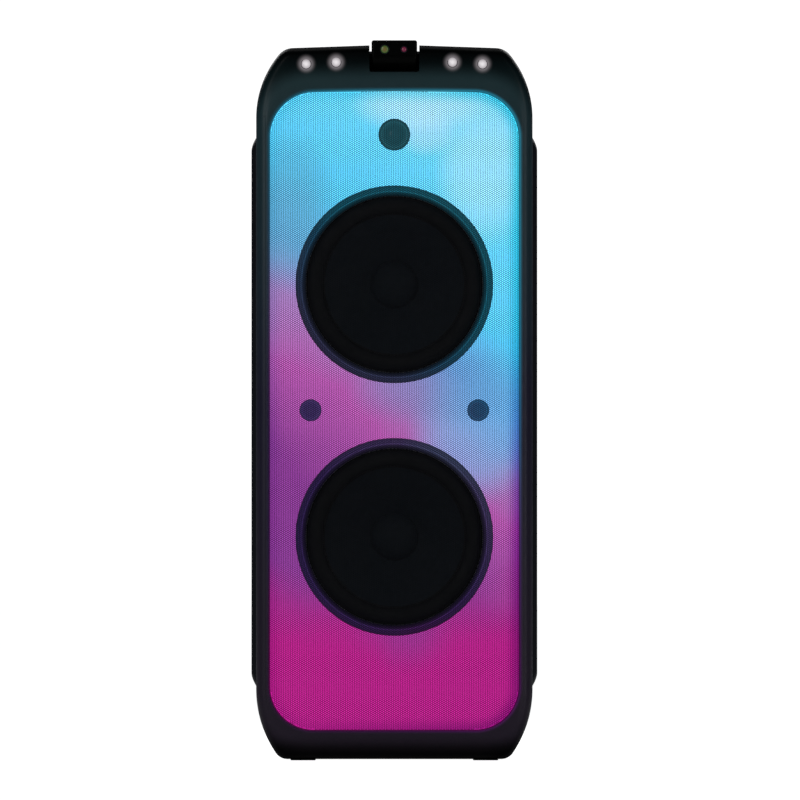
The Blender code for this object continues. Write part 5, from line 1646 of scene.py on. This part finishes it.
def build_hub(name, side, centre, rim):
    """Dished hub with five round holes."""
    bore = AXLE_RADIUS + 0.0004
    profile = [(0.0300, rim), (0.0300, -rim), (0.0270, -rim), (0.0255, -rim + 0.006), (0.0120, -rim + 0.006)]
    profile += [(0.0105, -rim), (bore, -rim), (bore, rim), (0.0108, rim), (0.0125, rim - 0.005)]
    profile += [(0.0250, rim - 0.006), (0.0272, rim)]
    hub = turned(f"hub_{name}", softened(profile, 0.0008), centre, (side, 0, 0), 96, closed=True)
    holes = []
    for i in range(5):
        turn = 2 * math.pi * i / 5 + math.pi / 2
        y, z = AXLE.y + 0.0188 * math.cos(turn), AXLE.z + 0.0188 * math.sin(turn)
        holes.append(rod("hole", 0.0046, (centre.x - 0.03, y, z), (centre.x + 0.03, y, z)))
    combine(hub, holes)
    dress(hub, CONTROL, f"wheel_{name}", [f"wheel_hub_{name}"])


# ---------------------------------------------------------------- rear fittings


def build_port():
    """Flared bass port with a stepped flange."""
    low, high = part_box("port_tube")
    back, length = high.y - REAR_FACE, REAR_FACE - low.y
    outer, flange = PORT_RADIUS + 0.003, (high.x - low.x) / 2
    profile = [(flange, GAP), (outer, GAP), (outer, -length), (PORT_RADIUS, -length), (PORT_RADIUS, -0.026)]
    for turn in np.linspace(0, math.pi / 2, 10):
        flare, along = 0.0105 * (1 - math.cos(turn)), (back + 0.024) * math.sin(turn)
        profile.append((PORT_RADIUS + flare, along - 0.024))
    profile += [(flange - 0.0015, back), (flange, back - 0.0012)]
    place = (0.0, REAR_FACE, middle("port_tube").z)
    port = turned("port_flare", profile, place, BACKWARD, 128, closed=True, angle=40)
    dress(port, TRIM, stands_for=["port_tube"])


UPPER_ROW, LOWER_ROW = 0.480, 0.370  # heights of the sockets, and of the inlet and the mains switch
JACKS = ((-0.060, UPPER_ROW), (-0.030, UPPER_ROW))
USB = (0.010, UPPER_ROW)
INLET = (0.060, LOWER_ROW)
SWITCH = (0.020, LOWER_ROW)


def build_amplifier_plate():
    """Powder-coated plate with its sockets, inlet, switch, screws and printed rules."""
    low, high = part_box("amp_plate")
    back = high.y
    outlines = [box_outline(low, high, "XZ", 0.004)] + [circle(x, z, 0.0060, 48) for x, z in JACKS]
    outlines += [window(USB, 0.0168, 0.0088, 0.0008), window(INLET, 0.0288, 0.0208, 0.001)]
    outlines.append(window(SWITCH, 0.0144, 0.0192, 0.0008))
    cover = sheet("amplifier_cover", outlines, "XZ", REAR_FACE + GAP, back, 0.0005)
    dress(cover, AMP_PAINT, stands_for=["amp_plate"])
    corners = [Vector((x, back, z)) for x, z in corner_places(low, high, 0.007)]
    dress(scattered("amplifier_screws", screw(0.0034), corners, BACKWARD), SCREW)
    for number, (x, z) in enumerate(JACKS, 1):
        build_jack(number, x, z, back)
    build_usb_socket(back)
    build_inlet(back)
    edges = [window(SWITCH, 0.0186, 0.0236, 0.0016), window(SWITCH, 0.0140, 0.0188, 0.0008)]
    dress(sheet("switch_frame", edges, "XZ", back + 0.0001, back + 0.0016, 0.0004), TRIM)
    dress(refined("power_switch", 0.0005), TRIM, "mains_rocker", ["power_switch"])
    rules = []
    for start, end, z in ((-0.075, -0.015, 0.497), (0.000, 0.020, 0.497), (0.008, 0.078, 0.392)):
        rules.append(bar(start, end, z, z + 0.0005))
    rules += [circle(x, 0.4665, 0.0012, 16) for x, _ in JACKS + (USB,)]
    dress(sheet("amplifier_print", rules, "XZ", back - 0.0001, back + 0.00012), MARK)


def corner_places(low, high, inset):
    """The four corners of a box seen from the front, moved in by inset."""
    return [(x, z) for x in (low.x + inset, high.x - inset) for z in (low.z + inset, high.z - inset)]


def build_jack(number, x, z, back):
    """Round jack socket, closed at its inner end, with a hexagonal nut."""
    wall = [(0.0033, -0.020), (0.0058, -0.020), (0.0058, 0.0022)]
    wall += [(0.0052, 0.0028), (0.0036, 0.0028), (0.0033, 0.0024)]
    body = turned(f"jack_body_{number}", wall, (x, REAR_FACE, z), BACKWARD, 48, closed=True)
    end = rod("end", 0.0056, (x, REAR_FACE - 0.0215, z), (x, REAR_FACE - 0.0195, z))
    dress(combine(body, [end], "UNION"), TRIM)
    edges = [circle(x, z, 0.0078, 6), circle(x, z, 0.0055, 48)]
    dress(sheet(f"jack_nut_{number}", edges, "XZ", back + 0.0001, back + 0.0009, 0.0002), STEEL)


def build_usb_socket(back):
    """Shell, floor and tongue of the USB socket."""
    x, z = USB
    edges = [window(USB, 0.0160, 0.0080, 0.0006), window(USB, 0.0124, 0.0050, 0.0004)]
    dress(sheet("usb_shell", edges, "XZ", 0.1450, back - 0.0002, 0.0002), STEEL)
    floor = block("usb_floor", (x - 0.0078, 0.1425, z - 0.0038), (x + 0.0078, 0.1446, z + 0.0038), 0.0003)
    tongue = block("usb_tongue", (x - 0.0056, 0.1440, z), (x + 0.0056, 0.1585, z + 0.0018), 0.0003)
    dress(combine(floor, [tongue], "UNION"), TRIM)


def build_inlet(back):
    """Power inlet with a flange, a mouth and two pins."""
    low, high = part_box("power_inlet")
    housing = block("inlet_housing", low, high - Vector((0, 0.0011, 0)), 0.0008)
    flange = prism("inlet_flange", window(INLET, 0.0330, 0.0250, 0.003), "XZ", back + 0.0001, high.y, 0.0004)
    combine(housing, [flange], "UNION")
    combine(housing, [prism("inlet_mouth", window(INLET, 0.0210, 0.0100, 0.0048), "XZ", 0.1445, 0.17)])
    pins = []
    for off in (-0.0043, 0.0043):
        x, z = INLET[0] + off, INLET[1]
        pins.append(rod(f"pin_{off}", 0.0012, (x, 0.1440, z), (x, 0.1560, z), 0.0005, 24))
    dress(joined("inlet_pins", pins), STEEL)
    dress(housing, SATIN, stands_for=["power_inlet"])


def build_battery_door():
    """Door with ribs and a finger latch."""
    low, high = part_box("battery_door")
    door = prism("door", box_outline(low, high, "XZ", 0.004), "XZ", low.y, high.y, 0.0006)
    cuts = []
    for row in range(7):
        place = ((low.x + high.x) / 2, low.z + 0.020 + 0.0085 * row)
        slot = window(place, high.x - low.x - 0.032, 0.0028, 0.0013, 4)
        cuts.append(prism(f"slot_{row}", slot, "XZ", high.y - 0.0010, high.y + 0.01))
    latch_height = high.z - 0.022
    dish = [(0.0, -0.0017), (0.0090, -0.0015), (0.0130, -0.0004), (0.0140, 0.0100), (0.0, 0.0100)]
    cuts.append(turned("dish", dish, (0.0, high.y, latch_height), BACKWARD, 48))
    combine(door, cuts)
    dress(door, SHELL, stands_for=["battery_door"])
    start = (-0.0075, high.y - 0.0012, latch_height - 0.0055)
    end = (0.0075, high.y + 0.0010, latch_height + 0.0055)
    dress(block("door_latch", start, end, 0.0008), CONTROL)


# ---------------------------------------------------------------- inside


CHIPS = (  # x, z, width, height and thickness of the parts on the amplifier board
    (-0.066, 0.400, 0.012, 0.012, 0.002),
    (0.067, 0.396, 0.010, 0.014, 0.002),
    (-0.064, 0.430, 0.018, 0.018, 0.012),
    (0.066, 0.432, 0.018, 0.018, 0.012),
    (-0.020, 0.497, 0.030, 0.006, 0.009),
    (0.025, 0.497, 0.022, 0.006, 0.009),
    (0.067, 0.470, 0.008, 0.020, 0.008),
    (-0.067, 0.470, 0.008, 0.020, 0.008),
)


def build_amplifier_board():
    """Amplifier board with a finned heat sink, three capacitors and its small parts."""
    low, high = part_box("amp_board")
    front, back = high.y - 0.0016, high.y
    outlines = [box_outline(low, high, "XZ", 0.002)]
    outlines += [circle(x, z, 0.0016, 16) for x, z in corner_places(low, high, 0.005)]
    board = sheet("board", outlines, "XZ", front, back, 0.0002)
    dress(board, CIRCUIT, stands_for=["amp_board"])
    sink_half, fins = 0.055, 14
    pitch = 2 * sink_half / (2 * fins - 1)
    comb = [(-sink_half, front - 0.0002), (-sink_half, low.y)]
    for fin in range(fins):
        x = -sink_half + 2 * fin * pitch
        if fin:
            comb += [(x, front - 0.005), (x, low.y)]
        comb += [(x + pitch, low.y), (x + pitch, front - 0.005)]
    comb = comb[:-1] + [(sink_half, front - 0.0002)]
    dress(prism("heat_sink", comb, "XY", 0.365, 0.440, 0.0004), ALUMINIUM)
    foot = front - low.y - 0.0004
    can = [(0.0, 0.0), (0.0090, 0.0), (0.0090, 0.0235), (0.0082, 0.0240), (0.0082, 0.0252), (0.0090, 0.0262)]
    can = softened(can + [(0.0086, foot), (0.0, foot)], 0.0005, closed=False)
    places = [Vector((x, low.y, 0.475)) for x in (-0.040, 0.0, 0.040)]
    cans = scattered("capacitors", turned("can", can, ORIGIN, UPWARD, 48), places, BACKWARD)
    dress(cans, BATTERY)
    chips = []
    for x, z, width, height, thick in CHIPS:
        across, up = width / 2, height / 2
        start, end = (x - across, front - thick, z - up), (x + across, front - 0.0001, z + up)
        chips.append(block("chip", start, end, 0.0004))
    dress(joined("board_parts", chips), TRIM)


def build_power_supply():
    """Case of the power supply with a lid full of round vents."""
    low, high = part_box("power_supply")
    outline = box_outline(low, high, "XY", 0.0015)
    case = prism("supply_case", outline, "XY", low.z, high.z - 0.0012, 0.0008)
    columns = np.linspace(low.x + 0.012, high.x - 0.012, 13)
    rows = np.linspace(low.y + 0.016, high.y - 0.016, 6)
    vents = [circle(x, y, 0.0022, 16) for x in columns for y in rows]
    lid = sheet("supply_lid", [outline] + vents, "XY", high.z - 0.0010, high.z)
    for piece in (case, lid):
        dress(piece, ALUMINIUM, stands_for=["power_supply"])


def build_battery():
    """Battery pack, with valleys between the round cells under its wrap."""
    low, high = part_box("battery_pack")
    pack = block("battery_wrap", low, high, 0.006, 6)
    valleys = []
    for x in np.linspace(low.x + 0.019, high.x - 0.019, 7):
        for y in (low.y + 0.001, high.y - 0.001):
            valleys.append(rod("valley", 0.0016, (x, y, low.z - 0.01), (x, y, high.z + 0.01), 0, 16))
    combine(pack, valleys)
    dress(pack, BATTERY, stands_for=["battery_pack"])


def build_light_array():
    """Small lights in rows on the front of the light board, clear of the windows."""
    low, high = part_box("light_board")
    front = low.y
    windows = [(0.0, z, WOOFER_WINDOW) for z in WOOFER_HEIGHTS.values()]
    windows += [(x, z, mouth) for x, z, mouth, _ in TWEETERS.values()]
    pitch, edge = 0.0125, 0.012
    places = []
    for column in range(int((high.x - low.x) / pitch) + 1):
        for row in range(int((high.z - low.z) / pitch) + 1):
            x, z = low.x + edge * 0.5 + column * pitch, low.z + edge * 0.5 + row * pitch
            clear = all(math.hypot(x - wx, z - wz) > radius + 0.006 for wx, wz, radius in windows)
            if clear and edge_distance(np.array(x), np.array(z)) > edge:
                places.append(Vector((x, front, z)))
    pattern = block("light", (-0.0018, -0.0018, 0.0001), (0.0018, 0.0018, 0.0010), 0.0003, 1)
    dress(scattered("light_array", pattern, places, FORWARD), LIGHT_DOT)


def main():
    """Makes every piece, then the stage."""
    build_bezel()
    build_grille()
    build_light_panel()
    build_light_array()
    build_strobes()
    build_laser()
    for which, height in WOOFER_HEIGHTS.items():
        build_woofer(which, height)
    for name, (x, height, mouth, dome) in TWEETERS.items():
        build_tweeter(name, x, height, mouth, dome)
    finish_node("baffle", BOARD)
    build_shell()
    build_rear_panel()
    build_side_pad("side_pad_left", -1)
    build_side_pad("side_pad_right", 1)
    build_feet()
    build_control_panel()
    build_handle()
    build_wheels()
    build_port()
    build_amplifier_plate()
    build_battery_door()
    build_amplifier_board()
    build_power_supply()
    build_battery()
    build_stage()


# ---------------------------------------------------------------- stage, light and camera

VIEW_WIDTH = 1.016  # what the picture spans at the front of the speaker
VIEW_CENTRE = (0.0072, 0.4578)
CAMERA_DISTANCE = 40.0
SENSOR = 36.0


def soft_light(name, place, target, size, power):
    """A white rectangular light aimed at a point."""
    data = bpy.data.lights.new(name, "AREA")
    data.shape = "RECTANGLE"
    data.size, data.size_y = size
    data.energy = power
    lamp_object = add(name, data)
    lamp_object.location = place
    lamp_object.rotation_euler = (Vector(target) - Vector(place)).to_track_quat("-Z", "Y").to_euler()


def build_stage():
    """Pale floor, white surroundings, soft boxes and the camera."""
    bm = bmesh.new()
    bmesh.ops.create_grid(bm, x_segments=1, y_segments=1, size=30.0)
    floor = from_bmesh("floor", bm)
    paint = Shader("floor_paint")
    pale = paint.span(paint.noise(0.5), 0.3, 0.7, 0.78, 0.82)
    seen = paint.add("ShaderNodeLightPath").outputs["Is Camera Ray"]
    glow = paint.grey(paint.maths("MULTIPLY", seen, 0.97))
    paint.set(Base_Color=paint.grey(pale), Roughness=0.9, Emission_Color=glow, Emission_Strength=1.0)
    floor.data.materials.append(paint.material)

    build_world()
    soft_light("key", (-1.6, -2.6, 1.6), (0, 0, 0.45), (1.2, 1.8), 24)
    soft_light("fill", (2.0, -2.4, 1.0), (0, 0, 0.45), (1.0, 2.0), 15)
    soft_light("top", (0.0, 1.2, 3.2), (0, 0.2, 0.6), (1.6, 1.6), 6)
    for name, x in (("back_left", -1.3), ("back_right", 1.3)):
        soft_light(name, (x, 2.6, 2.2), (0, 0, 0.5), (1.0, 1.6), 20)
    build_camera()


def build_world():
    """Surroundings that look white to the camera but give almost no light."""
    world = bpy.data.worlds.new("studio")
    bpy.context.scene.world = world
    world.use_nodes = True
    nodes, links = world.node_tree.nodes, world.node_tree.links
    bright, dim = nodes.new("ShaderNodeBackground"), nodes["Background"]
    rays, both = nodes.new("ShaderNodeLightPath"), nodes.new("ShaderNodeMixShader")
    for node, colour, strength in ((bright, (1.0, 1.0, 1.0, 1.0), 1.1), (dim, (0.75, 0.85, 1.0, 1.0), 0.06)):
        node.inputs["Color"].default_value = colour
        node.inputs["Strength"].default_value = strength
    ends = (rays.outputs["Is Camera Ray"], dim.outputs[0], bright.outputs[0])
    for place, end in enumerate(ends):
        links.new(end, both.inputs[place])
    links.new(both.outputs[0], nodes["World Output"].inputs["Surface"])


def build_camera():
    """Long lens, square on to the front, as in the photo."""
    camera = bpy.data.cameras.new("camera")
    camera.sensor_width = SENSOR
    camera.lens = SENSOR * CAMERA_DISTANCE / VIEW_WIDTH
    camera.clip_end = 100.0
    eye = add("camera", camera)
    eye.location = (VIEW_CENTRE[0], BEZEL_FRONT - CAMERA_DISTANCE, VIEW_CENTRE[1])
    eye.rotation_euler = (math.pi / 2, 0.0, 0.0)
    scene = bpy.context.scene
    scene.camera = eye
    scene.view_settings.view_transform = "Standard"


main()
